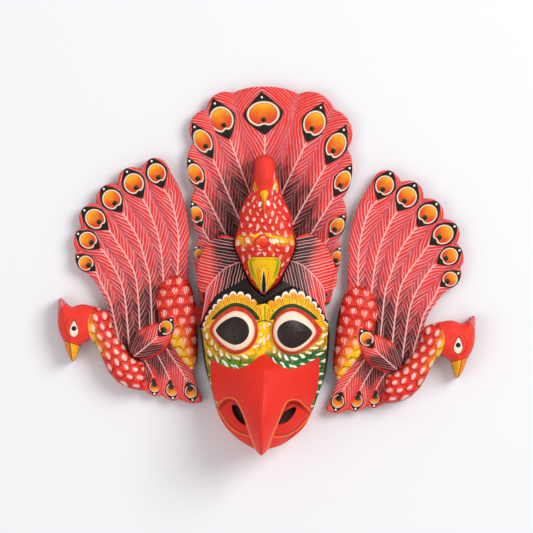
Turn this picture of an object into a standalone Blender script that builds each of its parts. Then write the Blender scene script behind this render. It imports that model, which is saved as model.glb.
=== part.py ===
import bpy
import numpy as np
from math import cos, radians, sin
from mathutils import Vector
from mathutils.geometry import delaunay_2d_cdt

for old in list(bpy.data.objects):
    bpy.data.objects.remove(old, do_unlink=True)

# Units and front view
MM = 0.001
# Sizes are read across and down a front view, in millimetres, then centred on the mask
VIEW_CENTRE = 266.54
VIEW_MIDDLE = 269.6

# Fits
GAP = 0.35
TAB_CLEARANCE = 0.4

# Crest board
BOARD_THICK = 12.0
RIB_RISE = 2.2
BOARD_FOOT = 303.8
FAN_ROOT = (264.0, 275.0)
FAN_JOINTS = [(200.0, BOARD_FOOT), (196.6, 275.0), (198.4, 235.3), (194.5, 189.0), (193.0, 141.2), (206.3, 108.0),
              (232.8, 92.0), (298.6, 93.0), (334.5, 108.3), (348.3, 148.0), (343.0, 198.0), (339.0, 238.4),
              (336.5, 275.0), (330.0, BOARD_FOOT)]
FAN_BULGES = [0.5, 3.5, 6.0, 7.0, 10.0, 7.5, 7.0, 8.5, 10.5, 7.0, 6.0, 3.5, 0.5]

# Crest bird, left and right edges of its silhouette at each height
BIRD_ROWS = [154.2, 157.0, 163.0, 172.0, 181.0, 191.0, 201.0, 211.0, 222.0, 232.0, 242.0, 250.0, 262.0, 272.0,
             282.0, 289.0, 295.5]
BIRD_LEFT = [263.0, 257.0, 254.2, 253.6, 252.6, 250.0, 244.0, 239.8, 239.0, 236.6, 233.8, 235.3, 240.5, 244.0,
             248.6, 254.6, 261.8]
BIRD_RIGHT = [267.6, 272.0, 275.2, 276.4, 279.0, 281.0, 285.0, 290.0, 292.6, 293.6, 296.2, 295.0, 290.5, 285.0,
              280.5, 273.0, 264.4]
BIRD_CREST_ROWS = [154.2, 160.0, 175.0, 190.0, 200.0, 214.0, 228.0, 242.0, 258.0, 275.0, 290.0, 295.5]
BIRD_CREST_RISE = [34.0, 50.0, 59.0, 56.0, 60.0, 64.0, 72.0, 80.0, 76.0, 69.0, 63.0, 58.0]
BIRD_EDGE_SHARE = 0.56
BIRD_STEP = 1.0
BILL_TOP = 188.0
BILL_TIP = 216.0
BILL_MIDDLE = 264.6
BILL_HALF = 3.6
BILL_RISE = 5.0
BILL_SLOPE = (6.0, 4.0)
NOTCH_TOP = 236.6

# Mask face outline, from the left of the bird round the left side to the beak tip, then back up
PLUME_LEFT = [(223.0, 235.4), (212.0, 240.0), (206.0, 244.5), (201.0, 254.0), (197.6, 264.0), (196.6, 276.0),
              (198.4, 289.0), (202.4, 294.0), (203.6, 303.0), (202.0, 314.0), (200.3, 323.0)]
CHEEK_LEFT = [(201.8, 331.0), (204.2, 345.0), (206.0, 362.0), (209.4, 380.0), (213.0, 396.0), (216.8, 409.0)]
JAW_LEFT = [(223.0, 423.0), (232.0, 433.6), (243.3, 442.6), (255.0, 448.6)]
BEAK_TIP = [(258.6, 451.8), (261.4, 453.7), (264.4, 451.8)]
JAW_RIGHT = [(267.9, 448.8), (281.5, 445.0), (295.3, 435.7), (305.0, 425.8)]
CHEEK_RIGHT = [(312.0, 412.0), (318.0, 396.0), (323.0, 378.0), (326.0, 356.0), (327.4, 338.0)]
PLUME_RIGHT = [(328.2, 324.0), (325.6, 312.0), (325.0, 303.0), (328.4, 293.0), (335.6, 287.0), (337.4, 275.0),
               (335.0, 264.0), (330.6, 254.0), (324.0, 243.0), (316.6, 237.6), (308.0, 233.6)]
FACE_ROWS = [230.0, 270.0, 300.0, 330.0, 362.0, 384.0, 410.0, 430.0, 445.0, 454.0]
FACE_HALF = [66.0, 71.0, 63.0, 63.5, 60.0, 56.0, 49.0, 35.0, 20.0, 9.0]
FACE_MIDDLE = [264.6, 264.6, 264.6, 264.4, 264.0, 263.4, 262.6, 262.0, 261.8, 261.6]
FACE_EDGE = 34.0
FACE_RISE = 32.0
PLUME_DROP = 9.0
PLUME_FADE = 40.0
PLUME_END = 300.0
BROW_STEP = 5.0
BROW_WALL = 1.6
BROW_ARCH = [(202.0, 327.0), (206.0, 316.0), (218.0, 299.5), (232.7, 291.0), (249.0, 293.6), (261.6, 304.0),
             (276.0, 296.0), (292.7, 288.6), (309.0, 295.0), (321.0, 309.0), (327.0, 323.0)]
EYES = [((234.0, 330.0), 22.6, 22.4, -1), ((292.0, 331.0), 20.4, 22.4, 1)]
EYE_TIP = 25.0
EYE_RISE = 9.0
EYE_LID = 2.6
EYE_WALL = 1.6
EYE_ROUND = 20.0

# Beak
BEAK_START = 348.0
BEAK_BLEND = 22.0
JAW_START = 380.0
RIDGE_ROWS = [346.0, 356.0, 372.0, 400.0, 425.0, 445.0, 454.0]
RIDGE_RISE = [66.0, 74.0, 88.0, 102.0, 104.0, 98.0, 90.0]
RIDGE_POWER = 1.35
HOOK_LEFT = [(209.0, 417.0), (217.0, 407.4), (223.4, 400.0), (230.0, 397.4), (235.6, 399.4), (239.6, 405.4),
             (244.8, 417.3), (250.0, 433.0), (255.2, 447.0)]
HOOK_RIGHT = [(268.0, 447.0), (273.0, 432.6), (280.0, 416.5), (284.6, 405.0), (289.0, 400.0), (297.6, 400.0),
              (304.5, 405.8), (312.0, 412.4), (319.0, 420.0)]
JAW_EDGE = 36.0
JAW_RISE = 24.0
HOOK_WALL = 1.6
NOSTRILS = [((232.6, 404.6), (246.4, 424.6)), ((295.6, 407.0), (278.6, 424.6))]
NOSTRIL_WIDTH = 8.6
NOSTRIL_DEPTH = 8.0
NOSTRIL_WALL = 1.4
TIP_TUCK_ROWS = [396.0, 425.0, 454.0]
TIP_TUCK = [0.0, 4.0, 17.0]
FLARE_ROWS = [322.0, 336.0, 372.0, 398.0]
FLARE = [0.0, 2.6, 2.6, 0.0]
BASE_HALF = 60.0

# Hollow behind the face, and the rebate for the crest board
WALL = 13.0
HOLLOW_TOP = 319.0
HOLLOW_DEPTH = 52.0
HOLLOW_ROUND = 17.0
REBATE_EDGE = BOARD_FOOT + GAP
REBATE_DEPTH = BOARD_THICK + RIB_RISE + GAP

# Side bird, drawn facing left
SIDE_ROOT = (147.0, 352.0)
SIDE_JOINTS = [(187.0, 279.0), (187.6, 247.0), (170.0, 172.0), (139.4, 168.6), (116.4, 183.8), (95.4, 203.0),
               (80.6, 227.0), (75.4, 251.0), (86.0, 273.0), (99.0, 290.0), (108.5, 313.0)]
SIDE_BULGES = [0.5, 6.5, 13.0, 8.5, 8.0, 9.0, 5.0, 5.5, -1.0, -1.5]
HEAD = [(100.0, 309.0), (92.0, 306.6), (80.5, 304.6), (70.4, 307.0), (65.0, 303.4), (58.4, 298.6), (57.0, 312.0),
        (56.8, 323.0), (58.6, 332.6), (62.8, 341.6)]
BEAK = [(66.6, 353.6), (72.0, 362.0), (76.4, 354.4), (79.4, 345.8), (89.8, 339.4)]
BREAST = [(96.4, 348.0), (102.6, 361.5), (109.2, 374.2), (118.4, 383.6), (130.0, 389.2), (144.6, 391.4)]
TAIL = [(149.4, 395.4), (156.0, 397.0), (161.8, 396.0), (166.6, 399.6), (173.0, 401.6), (180.0, 400.4),
        (187.4, 403.8), (196.6, 403.8), (202.0, 401.0), (197.4, 389.0), (192.2, 370.6)]
RUMP = [(197.2, 359.0), (197.0, 331.0), (195.0, 304.0), (190.8, 287.0)]
NECK_BACK = [(144.4, 383.0), (143.6, 373.0), (142.0, 364.0), (131.0, 357.3), (121.4, 343.6), (113.2, 333.0)]
RUMP_BACK = [(180.0, 276.2), (170.6, 276.8), (161.0, 283.6), (156.8, 296.0), (157.4, 312.0), (168.0, 340.0),
             (191.0, 370.0)]
WING = [(175.0, 315.4), (160.5, 321.8), (143.0, 328.0), (132.4, 336.0), (127.8, 351.6), (140.5, 360.6),
        (155.2, 356.6), (166.6, 347.6), (173.4, 333.0)]
SIDE_EDGE = 12.0
NECK_RISE = 19.0
NECK_ROUND = 13.0
RUMP_RISE = 15.0
RUMP_ROUND = 17.0
WING_RISE = 13.0
WING_ROUND = 12.0
SIDE_RIBS = 2.2
TAIL_ROOT = (158.0, 335.0)
TAIL_JOINTS = [(145.0, 391.0), (161.8, 396.0), (180.0, 400.4), (199.0, 395.0)]
TAIL_TOP = 345.0
NECK_STEP = 5.0
RUMP_STEP = 4.0
WING_STEP = 9.0
STEP_WALL = 1.2
MIRROR = 265.0
TURN = 3.3
TURN_AT = (340.0, 320.0)
TURN_SHIFT = (3.0, 10.0)

# Tabs and sockets: across, down and up, low and high
TAB_LEFT = ((188.0, 306.0, 4.0), (211.0, 325.0, 20.0))
TAB_RIGHT = ((317.0, 308.0, 4.0), (340.5, 327.0, 20.0))

# Colours
RED = (0.66, 0.05, 0.03)
ROSE = (0.62, 0.08, 0.07)


# Curves
def curve(points, step, closed=False):
    p = np.array(points, dtype=float)
    n = len(p)
    out = []
    for i in range(n if closed else n - 1):
        if closed:
            a, b, c, d = p[i - 1], p[i], p[(i + 1) % n], p[(i + 2) % n]
        else:
            a, b, c, d = p[max(i - 1, 0)], p[i], p[i + 1], p[min(i + 2, n - 1)]
        count = max(1, int(round(np.linalg.norm(c - b) / step)))
        for k in range(count):
            t = k / count
            out.append(0.5 * (2 * b + (c - a) * t + (2 * a - 5 * b + 4 * c - d) * t ** 2
                              + (3 * b - a - 3 * c + d) * t ** 3))
    if not closed:
        out.append(p[-1])
    return np.array(out)


def lobes(joints, bulges, step, way=1.0):
    out = []
    for a, b, bulge in zip(joints, joints[1:], bulges):
        a, b = np.array(a), np.array(b)
        length = np.linalg.norm(b - a)
        normal = np.array([(b - a)[1], (a - b)[0]]) / length * way
        count = max(2, int(round(length / step)))
        for k in range(count):
            t = k / count
            out.append(a + (b - a) * t + normal * bulge * (1 - abs(2 * t - 1) ** 2.4))
    out.append(np.array(joints[-1]))
    return np.array(out)


def offset(loop, amount):
    ahead, behind = np.roll(loop, -1, axis=0), np.roll(loop, 1, axis=0)
    along = ahead - behind
    along /= np.linalg.norm(along, axis=1)[:, None] + 1e-9
    x, y = loop[:, 0], loop[:, 1]
    turn = np.sign(np.sum(x * np.roll(y, -1) - y * np.roll(x, -1)))
    return loop + np.column_stack([along[:, 1], -along[:, 0]]) * turn * np.reshape(amount, (-1, 1))


# Distances in the front view
def gap_to(line, p, closed=True):
    a = line if closed else line[:-1]
    b = np.roll(line, -1, axis=0) if closed else line[1:]
    best = np.full(len(p), 1e9)
    for s, e in zip(a, b):
        along = e - s
        t = np.clip(((p - s) @ along) / (along @ along + 1e-12), 0, 1)
        best = np.minimum(best, np.linalg.norm(p - s - t[:, None] * along, axis=1))
    return best


def is_in(loop, p):
    inside = np.zeros(len(p), dtype=bool)
    for s, e in zip(loop, np.roll(loop, -1, axis=0)):
        crosses = (s[1] > p[:, 1]) != (e[1] > p[:, 1])
        with np.errstate(divide="ignore", invalid="ignore"):
            at = s[0] + (p[:, 1] - s[1]) / (e[1] - s[1]) * (e[0] - s[0])
        inside ^= crosses & (p[:, 0] < at)
    return inside


def depth_in(loop, p):
    return np.where(is_in(loop, p), 1, -1) * gap_to(loop, p)


def ease(t):
    t = np.clip(t, 0, 1)
    return t * t * (3 - 2 * t)


def round_over(t):
    return np.sqrt(np.clip(1 - (1 - np.clip(t, 0, 1)) ** 2, 0, 1))


# Meshes
def triangles(outline, lines, step):
    points = [outline]
    edges = []
    at = len(outline)
    for line, closed in lines:
        edges += [(at + i, at + i + 1) for i in range(len(line) - 1)]
        if closed:
            edges.append((at + len(line) - 1, at))
        points.append(line)
        at += len(line)
    low, high = outline.min(axis=0), outline.max(axis=0)
    rows = np.arange(low[1] + step * 0.4, high[1], step * 0.866)
    grid = []
    for k, y in enumerate(rows):
        xs = np.arange(low[0] + step * (0.25 if k % 2 else 0.75), high[0], step)
        grid.append(np.column_stack([xs, np.full(len(xs), y)]))
    grid = np.concatenate(grid)
    keep = depth_in(outline, grid) > step * 0.6
    for line, closed in lines:
        keep &= gap_to(line, grid, closed) > step * 0.55
    points.append(grid[keep])
    flat = np.concatenate(points)
    found = delaunay_2d_cdt([Vector(q) for q in flat], edges, [list(range(len(outline)))], 1, 1e-3)
    spots = np.array([(v.x, v.y) for v in found[0]])
    place = {}
    for new, olds in enumerate(found[3]):
        for old in olds:
            place[old] = new
    rim = [place[i] for i in range(len(outline))]
    return spots, [tuple(f) for f in found[2]], rim


def solid(name, outline, front_lines, step, front, back_loop, back_lines, back_step, back, rings, bend, colour):
    front_spots, front_faces, front_rim = triangles(outline, front_lines, step)
    back_spots, back_faces, back_rim = triangles(back_loop, back_lines, back_step)
    front_z, back_z = front(front_spots), back(back_spots)
    verts = [(x, y, z) for (x, y), z in zip(front_spots, front_z)]
    shift = len(verts)
    verts += [(x, y, z) for (x, y), z in zip(back_spots, back_z)]
    faces = [tuple(f) for f in front_faces] + [tuple(i + shift for i in reversed(f)) for f in back_faces]
    n = len(outline)
    levels = [[i + shift for i in back_rim]]
    for share in rings:
        level = []
        for i in range(n):
            a = np.array(verts[back_rim[i] + shift])
            b = np.array(verts[front_rim[i]])
            q = a + (b - a) * share
            q[:2] = a[:2] + (b[:2] - a[:2]) * share ** bend
            level.append(len(verts))
            verts.append(tuple(q))
        levels.append(level)
    levels.append(list(front_rim))
    for low, high in zip(levels, levels[1:]):
        for i in range(n):
            j = (i + 1) % n
            faces.append((low[i], low[j], high[j]))
            faces.append((low[i], high[j], high[i]))
    mesh = bpy.data.meshes.new(name)
    placed = [((x - VIEW_CENTRE) * MM, (VIEW_MIDDLE - y) * MM, z * MM) for x, y, z in verts]
    mesh.from_pydata(placed, [], faces)
    mesh.validate()
    piece = bpy.data.objects.new(name, mesh)
    bpy.context.collection.objects.link(piece)
    face_outwards(piece)
    paint = bpy.data.materials.new(name)
    paint.use_nodes = True
    shader = paint.node_tree.nodes["Principled BSDF"]
    shader.inputs["Base Color"].default_value = (*colour, 1.0)
    shader.inputs["Roughness"].default_value = 0.4
    mesh.materials.append(paint)
    return piece


def face_outwards(piece):
    bpy.context.view_layer.objects.active = piece
    for other in bpy.data.objects:
        other.select_set(other == piece)
    bpy.ops.object.mode_set(mode="EDIT")
    bpy.ops.mesh.select_all(action="SELECT")
    bpy.ops.mesh.normals_make_consistent(inside=False)
    bpy.ops.object.mode_set(mode="OBJECT")


def block(name, low, high):
    xs = [(v - VIEW_CENTRE) * MM for v in (low[0], high[0])]
    ys = [(VIEW_MIDDLE - v) * MM for v in (high[1], low[1])]
    zs = [v * MM for v in (low[2], high[2])]
    verts = [(x, y, z) for x in xs for y in ys for z in zs]
    faces = [(0, 1, 3, 2), (4, 6, 7, 5), (0, 4, 5, 1), (2, 3, 7, 6), (0, 2, 6, 4), (1, 5, 7, 3)]
    mesh = bpy.data.meshes.new(name)
    mesh.from_pydata(verts, [], faces)
    piece = bpy.data.objects.new(name, mesh)
    bpy.context.collection.objects.link(piece)
    face_outwards(piece)
    piece.hide_render = True
    piece.display_type = "WIRE"
    return piece


def boolean(piece, tool, how):
    change = piece.modifiers.new(how.lower(), "BOOLEAN")
    change.operation = how
    change.solver = "EXACT"
    change.object = tool
    bpy.context.view_layer.objects.active = piece
    bpy.ops.object.modifier_apply(modifier=change.name)
    bpy.data.objects.remove(tool, do_unlink=True)


def clear_of(lines, outline, gap):
    kept = []
    for line, closed in lines:
        line = np.vstack([line, line[:1]]) if closed else line
        good = depth_in(outline, line) > gap
        for run in np.split(np.arange(len(line)), np.flatnonzero(~good)):
            run = run[good[run]]
            if len(run) > 1:
                kept.append((line[run], False))
    return kept


# Ribs between the feathers of a fan
def ribs(p, root, joints):
    root = np.array(root)
    way = np.array([np.arctan2(j[0] - root[0], root[1] - j[1]) for j in joints])
    order = np.sort(way)
    angle = np.arctan2(p[:, 0] - root[0], root[1] - p[:, 1])
    place = np.interp(angle, order, np.arange(len(order)))
    u = 2 * (place - np.floor(np.clip(place, 0, len(order) - 1.001))) - 1
    reach = np.linalg.norm(p - root, axis=1)
    return (1 - np.clip(u, -1, 1) ** 2) * ease(reach / 90.0)


def rays(root, joints, near, far):
    out = []
    for j in joints:
        a, b = np.array(root), np.array(j)
        out.append((np.array([a + (b - a) * t for t in np.linspace(near, far, 7)]), False))
    return out


# Crest
def bird_loop(step, grow):
    left = [(x, y) for x, y in zip(BIRD_LEFT, BIRD_ROWS)]
    right = [(x, y) for x, y in zip(BIRD_RIGHT, BIRD_ROWS)]
    loop = curve(left + right[::-1], step, closed=True)
    return offset(loop, grow)


BIRD = bird_loop(3.0, 0.0)


def bird_height(p):
    y = p[:, 1]
    left, right = np.interp(y, BIRD_ROWS, BIRD_LEFT), np.interp(y, BIRD_ROWS, BIRD_RIGHT)
    u = (2 * p[:, 0] - left - right) / (right - left)
    top = np.interp(y, BIRD_CREST_ROWS, BIRD_CREST_RISE)
    edge = top * BIRD_EDGE_SHARE
    beak = (BILL_RISE * np.clip(1 - abs(p[:, 0] - BILL_MIDDLE) / BILL_HALF, 0, 1)
            * ease((y - BILL_TOP) / BILL_SLOPE[0]) * ease((BILL_TIP - y) / BILL_SLOPE[1]))
    return edge + (top - edge) * np.sqrt(np.clip(1 - u * u, 0, 1)) + beak


def crest_height(p):
    board = BOARD_THICK + RIB_RISE * ribs(p, FAN_ROOT, FAN_JOINTS[1:-1])
    up = ease(depth_in(BIRD, p) / BIRD_STEP)
    return board + (np.maximum(bird_height(p), board) - board) * up


def build_crest():
    step = 6.4
    fan = lobes(FAN_JOINTS, FAN_BULGES, step)
    fan = fan[fan[:, 1] <= BOARD_FOOT]
    left, right = fan[0], fan[-1]
    foot = [np.array([x, BOARD_FOOT]) for x in np.arange(right[0] - step, left[0] + step, -2 * step)]
    outline = np.vstack([fan, foot])
    bird = bird_loop(4.2, 0.0)
    lines = clear_of([(bird, True), (offset(bird, -BIRD_STEP), True)], outline, 1.8)
    for line, _ in rays(FAN_ROOT, FAN_JOINTS[2:-2], 0.35, 0.955):
        outside = (depth_in(bird, line) < -3.0) & (depth_in(outline, line) > 1.8)
        if outside.sum() > 1:
            lines.append((line[outside], False))
    flat = lambda p: np.zeros(len(p))
    return solid("crest", outline, lines, step, crest_height, outline, [], 26.0, flat, [], 1.0, ROSE)


# Mask face
def face_loop(step):
    bird = bird_loop(step, GAP)
    lower = bird[bird[:, 1] > NOTCH_TOP]
    start = int(np.argmax(np.where(lower[:, 0] < BILL_MIDDLE, 1e3 - lower[:, 1], -1e3)))
    lower = np.roll(lower, -start, axis=0)
    if lower[1][1] < lower[0][1] or abs(lower[1][0] - lower[0][0]) > 4 * step:
        lower = np.roll(lower[::-1], 1, axis=0)
    sides = PLUME_LEFT + CHEEK_LEFT + JAW_LEFT
    left = curve([tuple(lower[0])] + sides, step)
    tip = curve([sides[-1]] + BEAK_TIP + [JAW_RIGHT[0]], min(step, 2.6))
    right = curve(JAW_RIGHT + CHEEK_RIGHT + PLUME_RIGHT + [tuple(lower[-1])], step)
    notch = lower[::-1]
    return np.vstack([left[:-1], tip[:-1], right[:-1], notch[:-1]])


HOOK = curve(HOOK_LEFT, 3.0)
HOOK_BACK = curve(HOOK_RIGHT, 3.0)
# Round the mask, well clear of its rim: left, right, above the beak and below its tip
CLEAR_LEFT, CLEAR_RIGHT = PLUME_LEFT[4][0] - WALL, PLUME_RIGHT[5][0] + WALL
CLEAR_TOP, CLEAR_FOOT = BEAK_START - WALL, BEAK_TIP[1][1] + WALL
HOOK_LOOP = np.vstack([HOOK, [[BEAK_TIP[0][0], CLEAR_FOOT], [BEAK_TIP[2][0], CLEAR_FOOT]], HOOK_BACK,
                       [[CLEAR_RIGHT, HOOK_RIGHT[-1][1]], [CLEAR_RIGHT, CLEAR_TOP], [CLEAR_LEFT, CLEAR_TOP],
                        [CLEAR_LEFT, HOOK_LEFT[0][1]]]])
BROW = np.vstack([curve(BROW_ARCH, 4.0), [[CLEAR_RIGHT, BROW_ARCH[-1][1]], [CLEAR_RIGHT, CLEAR_FOOT],
                                          [CLEAR_LEFT, CLEAR_FOOT], [CLEAR_LEFT, BROW_ARCH[0][1]]]])


def eye_loop(eye, count, grow=0.0):
    (cx, cy), across, up, side = eye
    out = []
    for k in range(count):
        a = 2 * np.pi * k / count
        reach = across + (EYE_TIP - across) * max(0.0, cos(a)) ** 6
        out.append((cx + side * (reach + grow) * cos(a), cy + (up + grow) * sin(a)))
    return np.array(out)


def nostril_loop(ends, count):
    a, b = np.array(ends[0]), np.array(ends[1])
    along = (b - a) / np.linalg.norm(b - a)
    across = np.array([-along[1], along[0]])
    out = []
    for k in range(count):
        t = 2 * np.pi * k / count
        out.append((a + b) / 2 - along * np.linalg.norm(b - a) / 2 * cos(t)
                   + across * NOSTRIL_WIDTH / 2 * sin(t) * (0.86 + 0.14 * abs(sin(t))))
    return np.array(out)


def face_height(p):
    x, y = p[:, 0], p[:, 1]
    middle = np.interp(y, FACE_ROWS, FACE_MIDDLE)
    half = np.interp(y, FACE_ROWS, FACE_HALF)
    u = np.clip(abs(x - middle) / half, 0, 1)
    brow = FACE_EDGE + FACE_RISE * np.sqrt(1 - u * u)
    brow = brow - PLUME_DROP * ease((PLUME_END - y) / PLUME_FADE) - BROW_STEP * ease(-depth_in(BROW, p) / BROW_WALL)
    for eye in EYES:
        loop = eye_loop(eye, 40)
        d = depth_in(loop, p)
        brow = brow + EYE_LID * ease(d / EYE_WALL) + EYE_RISE * round_over(d / EYE_ROUND) * (d > 0)
    ridge = np.interp(y, RIDGE_ROWS, RIDGE_RISE)
    beak = ridge - (ridge - FACE_EDGE) * u ** RIDGE_POWER
    mix = ease((y - BEAK_START) / BEAK_BLEND)
    upper = np.where(y > BEAK_START, np.maximum(brow * (1 - mix) + beak * mix, 0), brow)
    jaw = JAW_EDGE + JAW_RISE * np.clip(1 - u * u, 0, 1)
    for ends in NOSTRILS:
        jaw = jaw - NOSTRIL_DEPTH * ease(depth_in(nostril_loop(ends, 24), p) / NOSTRIL_WALL)
    hook = ease(depth_in(HOOK_LOOP, p) / HOOK_WALL + 1)
    jaw = np.minimum(jaw, upper)
    return np.where(y > JAW_START, jaw + (upper - jaw) * hook, upper)


def build_face():
    step = 5.2
    outline = face_loop(step)
    tuck = np.interp(outline[:, 1], TIP_TUCK_ROWS, TIP_TUCK)
    tip = BEAK_TIP[1][0]
    wider = 1 - tuck / BASE_HALF + np.interp(outline[:, 1], FLARE_ROWS, FLARE) / BASE_HALF
    base = np.column_stack([tip + (outline[:, 0] - tip) * wider, outline[:, 1] - tuck])
    ridge = np.arange(BEAK_START + 4.0, BEAK_TIP[0][1], 6.0)
    ridge = np.column_stack([np.interp(ridge, FACE_ROWS, FACE_MIDDLE), ridge])
    lines = [(curve(BROW_ARCH, step), False), (offset(BROW, 1.8)[:len(curve(BROW_ARCH, 4.0))], False),
             (ridge, False), (HOOK, False), (HOOK_BACK, False)]
    wall = offset(HOOK_LOOP, HOOK_WALL)
    lines += [(wall[:len(HOOK)], False), (wall[len(HOOK) + 2:len(HOOK) + 2 + len(HOOK_BACK)], False)]
    for eye in EYES:
        lines += [(eye_loop(eye, 22), True), (eye_loop(eye, 22, -1.8), True)]
    for ends in NOSTRILS:
        lines.append((nostril_loop(ends, 10), True))
    lines = clear_of(lines, outline, 1.8)

    low = base[base[:, 1] > HOLLOW_TOP - 6.0]
    start = int(np.argmin(low[:, 1] + np.where(low[:, 0] > BILL_MIDDLE, 1e3, 0)))
    low = np.roll(low, -start, axis=0)
    inner = offset(low, -WALL)
    inner = inner[(inner[:, 1] > HOLLOW_TOP + 1.0) & (gap_to(base, inner) > WALL - 0.6)]
    corners = [[inner[-1][0], HOLLOW_TOP], [BILL_MIDDLE, HOLLOW_TOP], [inner[0][0], HOLLOW_TOP]]
    mouth = np.vstack([inner, corners])

    def hollow(p):
        d = depth_in(mouth, p)
        bowl = HOLLOW_DEPTH * round_over(d / HOLLOW_ROUND)
        limit = np.maximum(face_height(p) - WALL, 0)
        return np.where(d > 0.01, np.minimum(bowl, limit), 0.0)

    low_clear = (CLEAR_LEFT, outline[:, 1].min() - WALL, -WALL)
    piece = solid("mask_face", outline, lines, step, face_height, base, [(mouth, True)], 7.5, hollow,
                  [0.45], 1.6, RED)
    boolean(piece, block("rebate", low_clear, (CLEAR_RIGHT, REBATE_EDGE, REBATE_DEPTH)), "DIFFERENCE")
    for low_corner, high_corner in (TAB_LEFT, TAB_RIGHT):
        c = TAB_CLEARANCE
        grown = [tuple(v - c for v in low_corner), tuple(v + c for v in high_corner)]
        boolean(piece, block("socket", *grown), "DIFFERENCE")
    return piece


# Side birds
def side_loops(step):
    fan = lobes(SIDE_JOINTS, SIDE_BULGES, step, -1.0)
    rest = curve([SIDE_JOINTS[-1]] + HEAD, step)
    bill = curve([HEAD[-1]] + BEAK, step)
    under = curve([BEAK[-1]] + BREAST, step)
    tail = curve([BREAST[-1]] + TAIL, step)
    rump = curve([TAIL[-1]] + RUMP + [SIDE_JOINTS[0]], step)
    outline = np.vstack([fan[:-1], rest[:-1], bill[:-1], under[:-1], tail[:-1], rump[:-1]])
    neck = np.vstack([rest[:-1], bill[:-1], under, curve(NECK_BACK + [SIDE_JOINTS[-1]], step)[:-1]])
    back = curve(RUMP + RUMP_BACK, step, closed=True)
    wing = curve(WING, step, closed=True)
    return outline, neck, back, wing


SIDE_LOOPS = side_loops(3.0)


def side_height(p):
    outline, neck, back, wing = SIDE_LOOPS
    fan = ribs(p, SIDE_ROOT, SIDE_JOINTS[1:-1])
    root = np.array(TAIL_ROOT)
    mirrored = np.column_stack([p[:, 0], 2 * root[1] - p[:, 1]])
    low = ribs(mirrored, TAIL_ROOT, [(x, 2 * root[1] - y) for x, y in TAIL_JOINTS])
    z = SIDE_EDGE + SIDE_RIBS * np.where(p[:, 1] < TAIL_TOP, fan, low)
    for loop, rise, width, step in ((neck, NECK_RISE, NECK_ROUND, NECK_STEP),
                                    (back, RUMP_RISE, RUMP_ROUND, RUMP_STEP),
                                    (wing, WING_RISE, WING_ROUND, WING_STEP)):
        d = depth_in(loop, p)
        z = np.maximum(z, SIDE_EDGE + step * ease(d / STEP_WALL) + (rise - step) * round_over(d / width) * (d > 0))
    return z


def build_side(name, mirrored, tab):
    step = 6.0
    outline, neck, back, wing = side_loops(step)
    lines = [(neck, True), (back, True), (wing, True), (offset(wing, -1.2), True)]
    lines += rays(SIDE_ROOT, SIDE_JOINTS[2:-2], 0.3, 0.955)
    lines = clear_of(lines, outline, 2.2)

    flat = lambda p: np.zeros(len(p))
    piece = solid(name, outline, lines, step, side_height, outline, [], 30.0, flat, [], 1.0, ROSE)
    if mirrored:
        c, s = cos(radians(TURN)), sin(radians(TURN))
        for v in piece.data.vertices:
            x = 2 * MIRROR - (v.co.x / MM + VIEW_CENTRE) - TURN_AT[0]
            y = VIEW_MIDDLE - v.co.y / MM - TURN_AT[1]
            v.co.x = (x * c - y * s + TURN_AT[0] + TURN_SHIFT[0] - VIEW_CENTRE) * MM
            v.co.y = (VIEW_MIDDLE - (x * s + y * c + TURN_AT[1] + TURN_SHIFT[1])) * MM
        piece.data.flip_normals()
        face_outwards(piece)
    boolean(piece, block("tab", *tab), "UNION")
    return piece


build_crest()
build_face()
build_side("left_peacock", False, TAB_LEFT)
build_side("right_peacock", True, TAB_RIGHT)
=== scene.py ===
# %% [markdown]
# # A garuda mask, lying on its back
# The mask is four pieces of carved and painted wood: the bird's face, the crest board that carries a second
# bird, and a peacock in profile at each side. This notebook dresses the plain solids. Each piece is a relief,
# a front surface whose height depends on where a point lies in the front view, so one way of building serves
# all four: outline, creases, a fine net of triangles, and a height for each point.

# %% Start
import math

import bpy
import numpy as np
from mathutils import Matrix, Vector
from mathutils.geometry import delaunay_2d_cdt


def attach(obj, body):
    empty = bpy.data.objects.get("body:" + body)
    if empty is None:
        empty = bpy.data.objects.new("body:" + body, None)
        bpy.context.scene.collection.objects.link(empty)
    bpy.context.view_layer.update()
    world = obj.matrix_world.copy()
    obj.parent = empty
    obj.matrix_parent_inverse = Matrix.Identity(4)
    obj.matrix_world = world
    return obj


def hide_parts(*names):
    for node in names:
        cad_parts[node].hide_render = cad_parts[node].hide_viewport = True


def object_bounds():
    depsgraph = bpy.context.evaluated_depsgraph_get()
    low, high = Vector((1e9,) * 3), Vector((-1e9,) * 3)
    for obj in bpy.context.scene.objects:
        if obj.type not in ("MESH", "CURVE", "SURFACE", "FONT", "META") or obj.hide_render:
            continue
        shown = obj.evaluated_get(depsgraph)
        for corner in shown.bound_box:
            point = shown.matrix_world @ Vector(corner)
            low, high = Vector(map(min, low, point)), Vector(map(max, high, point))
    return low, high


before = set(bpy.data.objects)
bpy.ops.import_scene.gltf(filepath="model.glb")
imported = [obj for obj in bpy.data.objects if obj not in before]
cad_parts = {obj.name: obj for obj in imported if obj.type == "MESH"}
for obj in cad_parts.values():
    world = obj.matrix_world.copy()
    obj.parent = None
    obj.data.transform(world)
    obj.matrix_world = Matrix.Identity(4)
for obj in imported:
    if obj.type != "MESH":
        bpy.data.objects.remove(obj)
cad_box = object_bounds()
box_low, box_high = [np.array(side, dtype=float) for side in cad_box]
# Net sizes are in millimetres and FINE scales them, and a flat back needs no fine one
FINE = 1.0
RIM_STEP = 1.5 * FINE
FACE_NET = 1.0 * FINE
BOARD_NET = 1.05 * FINE
FLAT_BACK_NET = 14.0
HOLLOW_NET = 3.0 * FINE
print("solids reach from", [round(v, 4) for v in box_low], "to", [round(v, 4) for v in box_high])

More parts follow.
